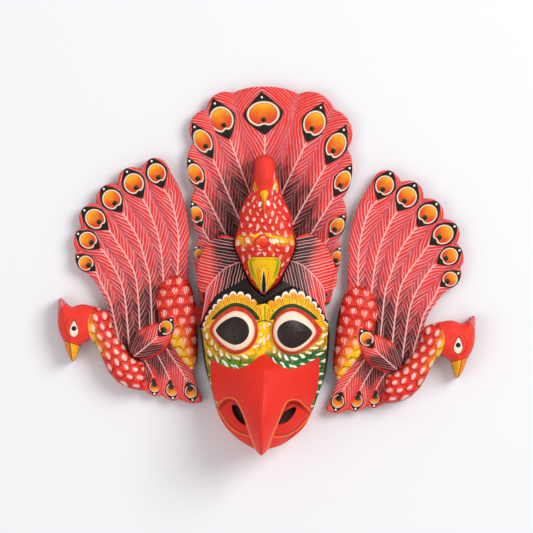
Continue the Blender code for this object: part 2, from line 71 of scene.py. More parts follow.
# %% [markdown]
# ## The front view
# A carver works from a drawing. Sizes here are read across and down such a drawing in millimetres, and `place`
# turns them into Blender's metres, with the back of the mask on the floor. Curves are drawn through a few
# points with the Catmull-Rom rule, which needs no handles.

# %% Drawing to metres
MM = 0.001
VIEW_CENTRE = 266.54
VIEW_MIDDLE = 269.6


def place(flat, height):
    spot = np.column_stack([(flat[:, 0] - VIEW_CENTRE) * MM, (VIEW_MIDDLE - flat[:, 1]) * MM, height * MM])
    return np.clip(spot, box_low, box_high)


def ease(t):
    t = np.clip(t, 0, 1)
    return t * t * (3 - 2 * t)


def round_over(t):
    return np.sqrt(np.clip(1 - (1 - np.clip(t, 0, 1)) ** 2, 0, 1))


print("the drawing's centre lies at", place(np.array([[VIEW_CENTRE, VIEW_MIDDLE]]), np.zeros(1))[0])


# %% Curves
def curve(points, step, closed=False):
    p = np.array(points, dtype=float)
    n = len(p)
    out = []
    for i in range(n if closed else n - 1):
        if closed:
            a, b, c, d = p[i - 1], p[i], p[(i + 1) % n], p[(i + 2) % n]
        else:
            a, b, c, d = p[max(i - 1, 0)], p[i], p[i + 1], p[min(i + 2, n - 1)]
        count = max(1, int(round(np.linalg.norm(c - b) / step)))
        for t in np.arange(count) / count:
            out.append(0.5 * (2 * b + (c - a) * t + (2 * a - 5 * b + 4 * c - d) * t ** 2
                              + (3 * b - a - 3 * c + d) * t ** 3))
    return np.array(out if closed else out + [p[-1]])


def smooth(at, rows, values):
    line = curve(list(zip(rows, values)), 1.0)
    return np.interp(at, line[:, 0], line[:, 1])


def lobes(joints, bulges, step, way=1.0):
    out = []
    for a, b, bulge in zip(joints, joints[1:], bulges):
        a, b = np.array(a), np.array(b)
        length = np.linalg.norm(b - a)
        normal = np.array([(b - a)[1], (a - b)[0]]) / length * way
        for t in np.linspace(0, 1, max(2, int(round(length / step))), endpoint=False):
            out.append(a + (b - a) * t + normal * bulge * (1 - abs(2 * t - 1) ** 2.4))
    return np.array(out + [np.array(joints[-1])])


def offset(loop, amount):
    along = np.roll(loop, -1, axis=0) - np.roll(loop, 1, axis=0)
    along /= np.linalg.norm(along, axis=1)[:, None] + 1e-9
    x, y = loop.T
    turn = np.sign(np.sum(x * np.roll(y, -1) - y * np.roll(x, -1)))
    return loop + np.column_stack([along[:, 1], -along[:, 0]]) * turn * amount


print("a curve through three points becomes", len(curve([(0, 0), (10, 5), (20, 0)], 1.0)), "points")

# %% [markdown]
# ## How deep is a point inside a shape?
# Nearly everything on the mask, a carved step, an eye's rim, a painted line, can be said as a distance to a
# curve. `depth_in` gives that distance, positive inside and negative outside.

# %% Distances
def gap_to(line, p, closed=True):
    a = line if closed else line[:-1]
    b = np.roll(line, -1, axis=0) if closed else line[1:]
    best = np.full(len(p), 1e9)
    for s, e in zip(a, b):
        along = e - s
        t = np.clip(((p - s) @ along) / (along @ along + 1e-12), 0, 1)
        away = p - s - t[:, None] * along
        np.minimum(best, away[:, 0] ** 2 + away[:, 1] ** 2, out=best)
    return np.sqrt(best)


def is_in(loop, p):
    inside = np.zeros(len(p), dtype=bool)
    for s, e in zip(loop, np.roll(loop, -1, axis=0)):
        if s[1] != e[1]:
            crosses = (s[1] > p[:, 1]) != (e[1] > p[:, 1])
            inside ^= crosses & (p[:, 0] < s[0] + (p[:, 1] - s[1]) / (e[1] - s[1]) * (e[0] - s[0]))
    return inside


def depth_in(loop, p):
    return np.where(is_in(loop, p), 1, -1) * gap_to(loop, p)


SQUARE = np.array([(0.0, 0.0), (10.0, 0.0), (10.0, 10.0), (0.0, 10.0)])
print("the middle of a 10 mm square is", depth_in(SQUARE, np.array([[5.0, 5.0]]))[0], "mm inside it")

# %% [markdown]
# ## From outline to carved piece
# `triangles` fills an outline with a net, using Blender's constrained Delaunay triangulation, so carved lines
# become real edges. `carve` lifts the net to its height, adds the back and the side walls, and returns the
# object with its flat coordinates, which the paint needs later.

# %% Net of triangles
def triangles(outline, lines, step):
    points, edges, at = [outline], [], len(outline)
    for line, closed in lines:
        edges += [(at + i, at + i + 1) for i in range(len(line) - 1)]
        if closed:
            edges.append((at + len(line) - 1, at))
        points.append(line)
        at += len(line)
    low, high = outline.min(axis=0), outline.max(axis=0)
    grid = []
    for k, y in enumerate(np.arange(low[1] + step * 0.4, high[1], step * 0.866)):
        xs = np.arange(low[0] + step * (0.25 if k % 2 else 0.75), high[0], step)
        grid.append(np.column_stack([xs, np.full(len(xs), y)]))
    grid = np.concatenate(grid)
    keep = depth_in(outline, grid) > step * 0.6
    for line, closed in lines:
        keep &= gap_to(line, grid, closed) > step * 0.5
    points.append(grid[keep])
    rim_face = [list(range(len(outline)))]
    found = delaunay_2d_cdt([Vector(q) for q in np.concatenate(points)], edges, rim_face, 1, 1e-4)
    spots = np.array([(v.x, v.y) for v in found[0]])
    home = {old: new for new, olds in enumerate(found[3]) for old in olds}
    return spots, np.array(found[2]), [home[i] for i in range(len(outline))]


def kept_inside(lines, outline, gap):
    kept = []
    for line, closed in lines:
        line = np.vstack([line, line[:1]]) if closed else line
        good = depth_in(outline, line) > gap
        cuts = np.flatnonzero(~good)
        for run in np.split(np.arange(len(line)), cuts):
            run = run[good[run]]
            if len(run) > 1:
                kept.append((line[run], False))
    return kept


print("a net with a step of 2 mm fills that square with", len(triangles(SQUARE, [], 2.0)[1]), "triangles")


# %% Carved piece
FRONT, WALL, BACK = 1.0, 0.0, -1.0


def flat_back(p):
    return np.zeros(len(p))


def carve(name, outline, lines, step, height, base, back_lines, back_step, back, levels=(), bend=1.0, edge=1.6):
    front, front_tris, front_rim = triangles(outline, lines, step)
    rear, rear_tris, rear_rim = triangles(base, back_lines, back_step)
    rim_gap = gap_to(outline, front)
    worn = edge - np.sqrt(np.clip(edge ** 2 - np.clip(edge - rim_gap, 0, edge) ** 2, 0, None))
    top = height(front) - worn
    floor = back(rear)
    shift, n = len(front), len(outline)
    flat, lift = [front, rear], [top, floor]
    rings = [np.array(rear_rim) + shift]
    at = len(front) + len(rear)
    for share in levels:
        a, b = rear[rear_rim], front[front_rim]
        flat.append(a + (b - a) * share ** bend)
        lift.append(floor[rear_rim] + (top[front_rim] - floor[rear_rim]) * share)
        rings.append(np.arange(at, at + n))
        at += n
    rings.append(np.array(front_rim))
    walls = []
    for low, high in zip(rings, rings[1:]):
        low2, high2 = np.roll(low, -1), np.roll(high, -1)
        walls += [np.column_stack([low, low2, high2]), np.column_stack([low, high2, high])]
    tris = np.vstack([front_tris, rear_tris[:, ::-1] + shift] + walls)
    kind = np.concatenate([np.full(len(front_tris), FRONT), np.full(len(rear_tris), BACK),
                           np.full(len(tris) - len(front_tris) - len(rear_tris), WALL)])
    flat, lift = np.vstack(flat), np.concatenate(lift)
    mesh = bpy.data.meshes.new(name)
    spots = place(flat, lift)
    one = spots[tris[:len(front_tris)]]
    up = np.cross(one[:, 1] - one[:, 0], one[:, 2] - one[:, 0])[:, 2].sum()
    if up < 0:
        tris = tris[:, ::-1]
    mesh.from_pydata(spots, [], tris.tolist())
    piece = bpy.data.objects.new(name, mesh)
    bpy.context.collection.objects.link(piece)
    mesh.polygons.foreach_set("use_smooth", kind == FRONT)
    print(name, "has", len(tris), "triangles")
    return piece, flat, tris, kind


def note(piece, name, *parts):
    values = np.stack([np.broadcast_to(part, parts[0].shape) for part in parts], axis=-1)
    layer = piece.data.attributes.new(name, "FLOAT_VECTOR", "CORNER")
    layer.data.foreach_set("vector", values.astype(np.float32).ravel())


# %% [markdown]
# ## Cutting joints
# A tab and its socket are plain boxes. A Boolean modifier adds the tab to its bird and takes the sockets out
# of the face, with a small clearance between the two.

# %% Joinery
TAB_LEFT = ((188.0, 306.0, 4.0), (211.0, 325.0, 20.0))
TAB_RIGHT = ((317.0, 308.0, 4.0), (340.5, 327.0, 20.0))
TAB_CLEARANCE = 0.4


def joint_box(piece, corners, grow, how):
    (x0, y0, z0), (x1, y1, z1) = corners
    flat = np.array([(x, y) for x in (x0 - grow, x1 + grow) for y in (y0 - grow, y1 + grow) for z in (0, 1)])
    spots = place(flat, np.array([z0 - grow, z1 + grow] * 4))
    mesh = bpy.data.meshes.new("joint")
    mesh.from_pydata(spots, [], [(0, 2, 3, 1), (4, 5, 7, 6), (0, 1, 5, 4), (2, 6, 7, 3), (0, 4, 6, 2), (1, 3, 7, 5)])
    tool = bpy.data.objects.new("joint", mesh)
    bpy.context.collection.objects.link(tool)
    cut = piece.modifiers.new("joint", "BOOLEAN")
    cut.operation, cut.solver, cut.object = how, "EXACT", tool
    bpy.context.view_layer.objects.active = piece
    bpy.ops.object.modifier_apply(modifier=cut.name)
    bpy.data.objects.remove(tool, do_unlink=True)


# %% [markdown]
# ## Shader maths in Python
# A painted pattern is arithmetic on distances. `Link` wraps one output socket, so `1 - mask` or `a * b` adds
# the Math node for us. Colours go through `blend`, because a Math node would turn them grey.

# %% Links
class Link:
    def __init__(self, tree, socket):
        self.tree, self.socket = tree, socket

    def node(self, kind, settings=None, values=None, output=0):
        new = self.tree.nodes.new(kind)
        for key, value in (settings or {}).items():
            setattr(new, key, value)
        for key, value in (values or {}).items():
            if isinstance(value, Link):
                self.tree.links.new(value.socket, new.inputs[key])
            else:
                new.inputs[key].default_value = value
        return Link(self.tree, new.outputs[output]) if new.outputs else None

    def maths(self, what, a, b=0.0, c=0.0):
        return self.node("ShaderNodeMath", {"operation": what}, {0: a, 1: b, 2: c})

    def __add__(self, other): return self.maths("ADD", self, other)
    def __radd__(self, other): return self.maths("ADD", other, self)
    def __sub__(self, other): return self.maths("SUBTRACT", self, other)
    def __rsub__(self, other): return self.maths("SUBTRACT", other, self)
    def __mul__(self, other): return self.maths("MULTIPLY", self, other)
    def __rmul__(self, other): return self.maths("MULTIPLY", other, self)
    def __truediv__(self, other): return self.maths("DIVIDE", self, other)
    def __rtruediv__(self, other): return self.maths("DIVIDE", other, self)
    def __pow__(self, other): return self.maths("POWER", self, other)
    def __neg__(self): return self.maths("MULTIPLY", self, -1.0)
    def __abs__(self): return self.maths("ABSOLUTE", self)
    def low(self, other): return self.maths("MINIMUM", self, other)
    def high(self, other): return self.maths("MAXIMUM", self, other)
    def fract(self): return self.maths("FRACT", self)
    def floor(self): return self.maths("FLOOR", self)
    def sqrt(self): return self.maths("SQRT", self.high(0.0))

    def over(self, start, soft=0.3):
        spread = {1: start - soft, 2: start + soft} if not isinstance(start, Link) else None
        if spread is None:
            return (self - start).over(0.0, soft)
        return self.node("ShaderNodeMapRange", {"interpolation_type": "SMOOTHSTEP"}, {0: self, **spread})

    def under(self, end, soft=0.3):
        return 1 - self.over(end, soft)

    def parts(self):
        split = self.node("ShaderNodeSeparateXYZ", None, {0: self})
        outs = split.socket.node.outputs
        return [Link(self.tree, outs[i]) for i in range(3)]

    def blend(self, factor, a, b):
        values = {0: factor}
        for key, tint in ((6, a), (7, b)):
            values[key] = tint if isinstance(tint, Link) else (*tint, 1.0)
        return self.node("ShaderNodeMix", {"data_type": "RGBA", "clamp_factor": True}, values, 2)


def paint_rgb(red, green, blue):
    def plain(v):
        v /= 255
        return v / 12.92 if v < 0.04045 else ((v + 0.055) / 1.055) ** 2.4
    return plain(red), plain(green), plain(blue)


# %% [markdown]
# ## The paints
# The mask is brushed by hand with a few strong enamel colours over smoothed wood. Each colour is named once,
# so every piece shares the same pots of paint.

# %% Paint pots
RED = paint_rgb(228, 44, 32)
SHADE_RED = paint_rgb(160, 26, 18)
ROSE = paint_rgb(206, 78, 88)
PINK = paint_rgb(250, 186, 180)
BLACK = paint_rgb(24, 16, 14)
CREAM = paint_rgb(250, 226, 200)
WHITE = paint_rgb(252, 244, 230)
ORANGE = paint_rgb(230, 112, 6)
FLAME = paint_rgb(222, 68, 20)
YELLOW = paint_rgb(250, 198, 6)
OCHRE = paint_rgb(196, 92, 16)
LEAF = paint_rgb(98, 156, 30)
FOREST = paint_rgb(30, 72, 26)
HEAD_RED = paint_rgb(238, 56, 40)
LIP_ORANGE = paint_rgb(250, 142, 10)
BARE_WOOD = paint_rgb(176, 136, 92)
WOOD_GRAIN = paint_rgb(150, 108, 68)


def start_paint(name):
    material = bpy.data.materials.new(name)
    material.use_nodes = True
    tree = material.node_tree
    tree.nodes.clear()
    return material, Link(tree, None)


def attribute(kit, name):
    return kit.node("ShaderNodeAttribute", {"attribute_name": name, "attribute_type": "GEOMETRY"}, None, 1)


def noise(kit, place_at, size, detail=2.0):
    values = {"Vector": place_at, "Scale": 1.0 / size, "Detail": detail}
    return kit.node("ShaderNodeTexNoise", None, values, 0)


def finish_paint(kit, material, colour, rough, bump, kind, spot):
    along_grain = kit.node("ShaderNodeVectorMath", {"operation": "MULTIPLY"}, {0: spot, 1: (1.0, 0.12, 1.0)})
    bare = kind.under(-0.5, 0.1)
    wood = kit.blend(noise(kit, along_grain, 1.6, 4.0), WOOD_GRAIN, BARE_WOOD)
    colour = kit.blend(bare, colour, wood)
    wear = noise(kit, spot, 26.0, 3.0)
    colour = kit.node("ShaderNodeHueSaturation", None, {"Value": 0.92 + wear * 0.16, "Color": colour})
    brush = noise(kit, spot, 2.2, 3.0)
    normal = kit.node("ShaderNodeBump", None, {"Strength": 0.55, "Distance": 0.0006, "Height": bump + brush * 0.1})
    shader = kit.node("ShaderNodeBsdfPrincipled", None,
                      {"Base Color": colour, "Roughness": rough + brush * 0.08 + bare * 0.3, "Normal": normal,
                       "Specular IOR Level": 0.26})
    kit.node("ShaderNodeOutputMaterial", None, {"Surface": shader})
    return material


def coat(kit, material, colour, rough, bump, kind, spot):
    colour = kit.blend(kind.under(0.5, 0.1), colour, SHADE_RED)
    return finish_paint(kit, material, colour, rough, bump, kind, spot)


# %% [markdown]
# ## Strokes, eyelets and scales
# Three patterns repeat all over the mask. Strokes are thin pale lines at each whole number of a coordinate.
# An eyelet is the peacock feather's eye: a black leaf, a cream ring with a notch, an orange disc and a green
# pupil. Scales are staggered rows of round ended shingles.

# %% Repeated patterns
def strokes(kit, across_rows, width, wobble):
    swing = across_rows + (wobble - 0.5) * 0.5
    luck = kit.node("ShaderNodeTexWhiteNoise", {"noise_dimensions": "1D"}, {"W": swing.floor()})
    away = abs(swing.fract() - 0.5 + (luck - 0.5) * 0.34)
    return away.under(width * (0.55 + luck * 0.9), 0.08)


def eyelet(kit, base, s, t, half, width, wobble, pupil_size, blunt):
    u, v = s / half, t / width
    leaf = (abs(v) / 1.1 + abs(u) ** (1.3 + blunt + u.under(0.0, 0.05) * (0.35 - blunt))).under(1.0, 0.04)
    notch = kit.maths("EXPONENT", -((v / 0.2) ** 2.0)) * u.under(-0.1, 0.1) * 0.18
    ring = (((u + 0.03) / 0.58) ** 2.0 + (v / 0.88) ** 2.0).sqrt() + notch
    out = kit.blend(leaf, base, BLACK)
    out = kit.blend(ring.under(1.0, 0.05), out, CREAM)
    disc = kit.blend((u + (wobble - 0.5) * 0.5 - abs(v) * 0.25).over(-0.12, 0.25), FLAME, paint_rgb(240, 132, 18))
    disc = kit.blend((u + (wobble - 0.5) * 0.3).over(0.30, 0.22), disc, paint_rgb(248, 184, 34))
    out = kit.blend(ring.under(0.88, 0.03), out, SHADE_RED)
    out = kit.blend(ring.under(0.84, 0.05), out, disc)
    inner = s + half * 0.30
    pupil = ((inner / pupil_size) ** 2.0 + (t / pupil_size) ** 2.0).under(1.0, 0.25)
    out = kit.blend(pupil, out, kit.blend((inner + t).over(0.4, 0.8), BLACK, FOREST))
    dot = (((s - half * 0.74) / 1.1) ** 2.0 + (t / 1.0) ** 2.0).under(1.0, 0.3)
    return kit.blend(dot, out, WHITE), leaf


def scales(kit, rows, columns):
    row = rows.floor()
    fall = rows - row
    shift = (row * 0.5).fract()
    here, there = columns + shift, columns + (0.5 - shift)
    side = here.fract() - 0.5
    reach = 0.42 + 0.55 * (1 - (side * 2) ** 2.0).sqrt()
    beyond = (fall - reach).over(0.0, 0.001)
    u = fall - beyond
    v = side + (there.fract() - 0.5 - side) * beyond
    cell = (row + beyond) * 7.31 + (here.floor() + (there.floor() - here.floor()) * beyond) * 3.17
    luck = kit.node("ShaderNodeTexWhiteNoise", {"noise_dimensions": "1D"}, {"W": cell})
    return u, v, (abs(fall - reach)).under(0.065, 0.04), luck


print("paints and patterns are ready")

# %% [markdown]
# ## The crest board
# The crest is one board: thirteen feathers in a fan, and the body of a bird standing out of it. The outline is
# a row of lobes from joint to joint. A peacock's feather is flat, so the carver only gives each one a low
# rounded rib and leaves the rest to the brush.

# %% Crest sizes
BOARD_THICK = 12.0
RIB_RISE = 2.2
BOARD_FOOT = 303.8
FAN_ROOT = (264.0, 275.0)
FAN_JOINTS = [(200.0, 303.8), (196.6, 275.0), (198.4, 235.3), (194.5, 189.0), (193.0, 141.2), (206.3, 108.0),
              (232.8, 92.0), (298.6, 93.0), (334.5, 108.3), (348.3, 148.0), (343.0, 198.0), (339.0, 238.4),
              (336.5, 275.0), (330.0, 303.8)]
FAN_BULGES = [0.5, 3.5, 6.0, 7.0, 10.0, 7.5, 7.0, 8.5, 10.5, 7.0, 6.0, 3.5, 0.5]
VALLEY_ROOTS = [340.0, 325.0, 306.0, 285.0, 255.0, 215.0, 215.0, 255.0, 285.0, 306.0, 325.0, 340.0]
# Each eyelet: inner tip, outer tip and half its width, and then how far down the middle each shaft starts
CREST_EYELETS = [((216.0, 330.0), (206.0, 345.0), 4.0), ((204.6, 264.0), (194.6, 244.8), 5.8),
                 ((201.6, 227.6), (190.9, 200.0), 7.4), ((203.2, 190.0), (187.0, 156.0), 8.4),
                 ((212.6, 158.8), (191.4, 121.4), 9.6), ((229.6, 139.0), (212.4, 97.2), 13.4),
                 ((264.8, 134.4), (261.4, 90.6), 18.6), ((306.4, 142.2), (323.4, 101.4), 12.4),
                 ((326.4, 164.6), (347.0, 123.8), 10.8), ((334.2, 196.8), (352.4, 163.2), 8.6),
                 ((329.0, 238.6), (346.4, 212.8), 7.4), ((332.6, 268.6), (340.8, 245.4), 6.0),
                 ((318.0, 330.0), (324.0, 345.0), 4.0)]
SHAFT_ROOTS = [350.0, 345.0, 330.0, 310.0, 275.0, 230.0, 200.0, 230.0, 275.0, 310.0, 330.0, 345.0, 350.0]

# %% Crest bird sizes
BIRD_ROWS = [154.2, 157.0, 163.0, 172.0, 181.0, 191.0, 201.0, 211.0, 222.0, 232.0, 242.0, 250.0, 262.0, 272.0,
             282.0, 289.0, 295.5]
BIRD_LEFT = [263.0, 257.0, 254.2, 253.6, 252.6, 250.0, 244.0, 239.8, 239.0, 236.6, 233.8, 235.3, 240.5, 244.0,
             248.6, 254.6, 261.8]
BIRD_RIGHT = [267.6, 272.0, 275.2, 276.4, 279.0, 281.0, 285.0, 290.0, 292.6, 293.6, 296.2, 295.0, 290.5, 285.0,
              280.5, 273.0, 264.4]
BIRD_CREST_ROWS = [154.2, 160.0, 175.0, 190.0, 200.0, 214.0, 228.0, 242.0, 258.0, 275.0, 290.0, 295.5]
BIRD_CREST_RISE = [34.0, 50.0, 59.0, 56.0, 60.0, 64.0, 72.0, 80.0, 76.0, 69.0, 63.0, 58.0]
BIRD_EDGE_SHARE = 0.56
BIRD_STEP = 1.0
GAP = 0.35


def bird_loop(step, grow):
    sides = list(zip(BIRD_LEFT, BIRD_ROWS)) + list(zip(BIRD_RIGHT, BIRD_ROWS))[::-1]
    return offset(curve(sides, step, closed=True), grow)


BIRD = bird_loop(2.0, 0.0)
print("the crest bird is", round(BIRD_ROWS[-1] - BIRD_ROWS[0], 1), "mm tall and stands", max(BIRD_CREST_RISE), "mm out")


# %% [markdown]
# ### Height of the crest
# Angles round the root of the fan tell which feather a point is in, and a parabola across that feather makes its
# rib. The bird is half an ellipse in every row. A height that is a formula needs no sculpting by hand, and it can
# be changed by one number.

# %% Crest height
def ribs(p, root, joints):
    way = np.sort([math.atan2(x - root[0], root[1] - y) for x, y in joints])
    angle = np.arctan2(p[:, 0] - root[0], root[1] - p[:, 1])
    at = np.interp(angle, way, np.arange(len(way)))
    u = 2 * (at - np.floor(np.clip(at, 0, len(way) - 1.001))) - 1
    return (1 - np.clip(u, -1, 1) ** 2) * ease(np.linalg.norm(p - np.array(root), axis=1) / 90.0)


def bird_height(p):
    y = p[:, 1]
    left, right = smooth(y, BIRD_ROWS, BIRD_LEFT), smooth(y, BIRD_ROWS, BIRD_RIGHT)
    u = (2 * p[:, 0] - left - right) / (right - left)
    top = smooth(y, BIRD_CREST_ROWS, BIRD_CREST_RISE)
    edge = top * BIRD_EDGE_SHARE
    beak = 5.0 * np.clip(1 - abs(p[:, 0] - 264.6) / 3.6, 0, 1) * ease((y - 188) / 6) * ease((216 - y) / 4)
    return edge + (top - edge) * np.sqrt(np.clip(1 - u * u, 0, 1)) + beak


def crest_height(p):
    board = BOARD_THICK + RIB_RISE * ribs(p, FAN_ROOT, FAN_JOINTS[1:-1])
    return board + (np.maximum(bird_height(p), board) - board) * ease(depth_in(BIRD, p) / BIRD_STEP)


# %% [markdown]
# Every triangle belongs to one feather. A feather's shaft is a curve from the outer tip of its eye to its root, and
# at each corner of the triangle we note how far along the shaft and how far beside it the corner lies. Blender
# carries such corner notes, called attributes, evenly across the triangle, where the paint can read them.

# %% Feather notes
def side_of(a, b, p):
    return (b[0] - a[0]) * (p[..., 1] - a[1]) - (b[1] - a[1]) * (p[..., 0] - a[0])


def along(line, p):
    arc = np.concatenate([[0], np.cumsum(np.linalg.norm(np.diff(line, axis=0), axis=1))])
    best, far, side = np.full(len(p), 1e9), np.zeros(len(p)), np.zeros(len(p))
    for k, (s, e) in enumerate(zip(line, line[1:])):
        way = (e - s) / np.linalg.norm(e - s)
        run = (p - s) @ way
        held = np.clip(run, 0 if k else -99, np.linalg.norm(e - s))
        gap = np.linalg.norm(p - s - held[:, None] * way, axis=1)
        near = gap < best
        best, far = np.where(near, gap, best), np.where(near, arc[k] + held, far)
        side = np.where(near, (p - s) @ np.array([way[1], -way[0]]), side)
    return far, side


def feather_notes(corners, which, eyelets, shafts):
    s, t = np.zeros(corners.shape[:2]), np.zeros(corners.shape[:2])
    half, width = np.ones(len(corners)), np.ones(len(corners))
    for k, ((inner, outer, wide), shaft) in enumerate(zip(eyelets, shafts)):
        mine = which == k
        half[mine], width[mine] = math.dist(inner, outer) / 2, wide
        far, side = along(curve([outer, inner] + shaft, 2.5), corners[mine].reshape(-1, 2))
        s[mine], t[mine] = (math.dist(inner, outer) / 2 - far).reshape(-1, 3), side.reshape(-1, 3)
    return s, t, half[:, None], width[:, None]


# %% Carve the crest
crest_rim = np.vstack([lobes(FAN_JOINTS, FAN_BULGES, RIM_STEP),
                       [[x, BOARD_FOOT] for x in np.arange(328.0, 202.0, -4.0)]])
valleys = [(np.array(joint), np.array([264.0, root])) for joint, root in zip(FAN_JOINTS[1:-1], VALLEY_ROOTS)]
creases = []
for joint, root in valleys:
    run = joint + (root - joint) * np.linspace(0.01, 1, 60)[:, None]
    run = run[(depth_in(BIRD, run) < -1.2) & (run[:, 1] < BOARD_FOOT - 2)]
    creases.append((run, False))
bird_foot = bird_loop(1.4 * FINE, 0.0)
creases = kept_inside(creases, crest_rim, 0.8) + [(bird_foot, True), (offset(bird_foot, -BIRD_STEP), True)]
crest, flat, tris, kind = carve("crest", crest_rim, creases, BOARD_NET, crest_height, crest_rim, [], FLAT_BACK_NET,
                                flat_back)
corners = flat[tris]
centres = corners.mean(axis=1)
beyond = [side_of(joint, root, centres) for joint, root in valleys]
which = 6 - sum(b > 0 for b in beyond[:6]) + sum(b < 0 for b in beyond[6:])
shafts = [[(inner[0] * k + 264.0 * (1 - k), inner[1] * k + root * (1 - k)) for k in (0.7, 0.35, 0.0)]
          for (inner, outer, wide), root in zip(CREST_EYELETS, SHAFT_ROOTS)]
s, t, half, width = feather_notes(corners, which, CREST_EYELETS, shafts)
to_bird = depth_in(BIRD, flat)
to_valley = np.min([gap_to(np.array(v), flat, False) for v in valleys], axis=0)
note(crest, "spot", corners[..., 0], corners[..., 1], kind[:, None])
note(crest, "feather", s, t, (which % 5)[:, None] / 5.0)
note(crest, "eyelet", half + 0 * s, width, to_valley[tris])
left, right = [smooth(flat[:, 1], BIRD_ROWS, edge) for edge in (BIRD_LEFT, BIRD_RIGHT)]
swell = (2 * flat[:, 0] - left - right) / (right - left)
faces_up = np.empty(len(crest.data.vertices) * 3, np.float32)
crest.data.vertex_normals.foreach_get("vector", faces_up)
note(crest, "zones", to_bird[tris], swell[tris], faces_up[2::3][tris])
print("the crest's notes are", [layer.name for layer in crest.data.attributes if layer.domain == "CORNER"])


# %% [markdown]
# ## Feather paint
# One function paints every feathered part. The strokes run along level lines of a distance from the eyelet
# that is rounder towards the tip and steeper towards the root, which makes the herringbone.

# %% Feather paint
def feather_paint(kit, s, t, half, width, valley, dark, spot, seed, pitch=3.2, blunt=0.0):
    wobble = noise(kit, spot, 7.0)
    patch = noise(kit, spot, 15.0)
    streak = noise(kit, kit.node("ShaderNodeCombineXYZ", None, {"X": s * 0.25, "Y": t * 1.2, "Z": seed * 9.0}), 3.0)
    far = s.under(-13.0, 12.0)
    power = 1.28 - far * 0.26
    reach = abs(s) * (1 - s.under(0.0, 0.5) * 0.5) + 0.01
    rings = (reach ** power + (abs(t) * (1.05 - far * 0.15) + 0.01) ** power) ** (1 / power)
    side = t.over(0.0, 0.01) * 37.0
    line = strokes(kit, rings / pitch + (seed * 5.0 + side).floor(), 0.07 + streak * 0.10, wobble)
    line = line * (0.62 + noise(kit, spot, 9.0).over(0.44, 0.16) * 0.38) * (1.15 - abs(t) / 16.0).low(1.0).high(0.45)
    wash = (valley.under(2.4, 2.6) * 0.55 + (streak - 0.42) * 1.5 + (patch - 0.5) * 0.8 + far * 0.25).high(0.0)
    colour = kit.blend(wash.low(1.0), RED, ROSE)
    night = (dark + (patch - 0.5) * 0.6 + (streak - 0.5) * 1.1).over(0.5, 0.34)
    colour = kit.blend(night * 0.92, colour, kit.blend(night, paint_rgb(96, 34, 40), BLACK))
    colour = kit.blend(line * (0.9 - night * 0.2), colour, kit.blend(night * 0.5, PINK, ROSE))
    shaft = abs(t).under((0.55 + streak * 0.3) * pitch / 3.0, 0.25) * s.under(-half, 1.0) * valley.over(0.5, 0.8)
    colour = kit.blend(shaft * 0.9, colour, PINK)
    colour, leaf = eyelet(kit, colour, s, t, half, width, wobble, 4.4 - pitch * 0.55, blunt)
    return colour, line * (1 - leaf) * 0.5 + leaf * 0.1


# %% [markdown]
# ## The crest bird's plumage
# White dabs run down the body in columns that swell and narrow with its outline, and a round red boss with a few
# free strokes marks the breast. The belly shield, bill and neck patches are simple shapes in the drawing's sizes.
# The steep sides of the body get plain red, as a pattern that is drawn from above would be stretched there.

# %% Crest paint
def dab_of(kit, u, v, long, wide, luck, wobble):
    blot = ((u - 0.50) / long) ** 2.0 + (v / (wide * (0.8 + luck * 0.4))) ** 2.0
    hair = strokes(kit, v / wide * 1.5 + 0.5 + luck * 3.0, 0.30, wobble)
    return blot.under(1.0, 0.35) * (0.3 + hair * 0.7)


def spot_of(x, y, cx, cy, wide, tall, lean=0.0):
    dx, dy = x - cx, y - cy
    return (((dx + dy * lean) / wide) ** 2.0 + (dy / tall) ** 2.0).under(1.0, 0.3)


def stroke_of(x, y, start, end, wide):
    (ax, ay), (bx, by) = start, end
    long = math.hypot(bx - ax, by - ay) / 2
    c, s = (bx - ax) / long / 2, (by - ay) / long / 2
    dx, dy = x - (ax + bx) / 2, y - (ay + by) / 2
    return (((dx * c + dy * s) / long) ** 2.0 + ((dy * c - dx * s) / wide) ** 2.0).under(1.0, 0.3)


BOSS_STROKES = [((253.6, 237.6), (260.4, 233.2), 1.3, YELLOW), ((265.0, 233.4), (273.0, 237.2), 1.4, YELLOW),
                ((261.0, 237.6), (265.6, 237.4), 0.8, PINK), ((269.4, 239.0), (272.4, 243.6), 1.3, CREAM),
                ((256.8, 245.4), (260.0, 247.4), 0.8, CREAM), ((275.0, 239.0), (278.4, 242.8), 1.5, WHITE),
                ((248.0, 240.0), (249.6, 243.6), 1.4, WHITE), ((271.0, 249.0), (273.4, 254.4), 1.3, ORANGE),
                ((259.2, 252.8), (260.8, 252.8), 0.9, WHITE), ((262.8, 252.9), (264.2, 252.9), 0.7, WHITE)]
SHIELD_STROKES = [((256.4, 268.6), (260.6, 286.0), 0.50), ((258.6, 268.6), (261.0, 281.0), 0.34),
                  ((269.0, 268.4), (266.8, 287.0), 0.42), ((271.0, 272.0), (268.6, 283.0), 0.3)]


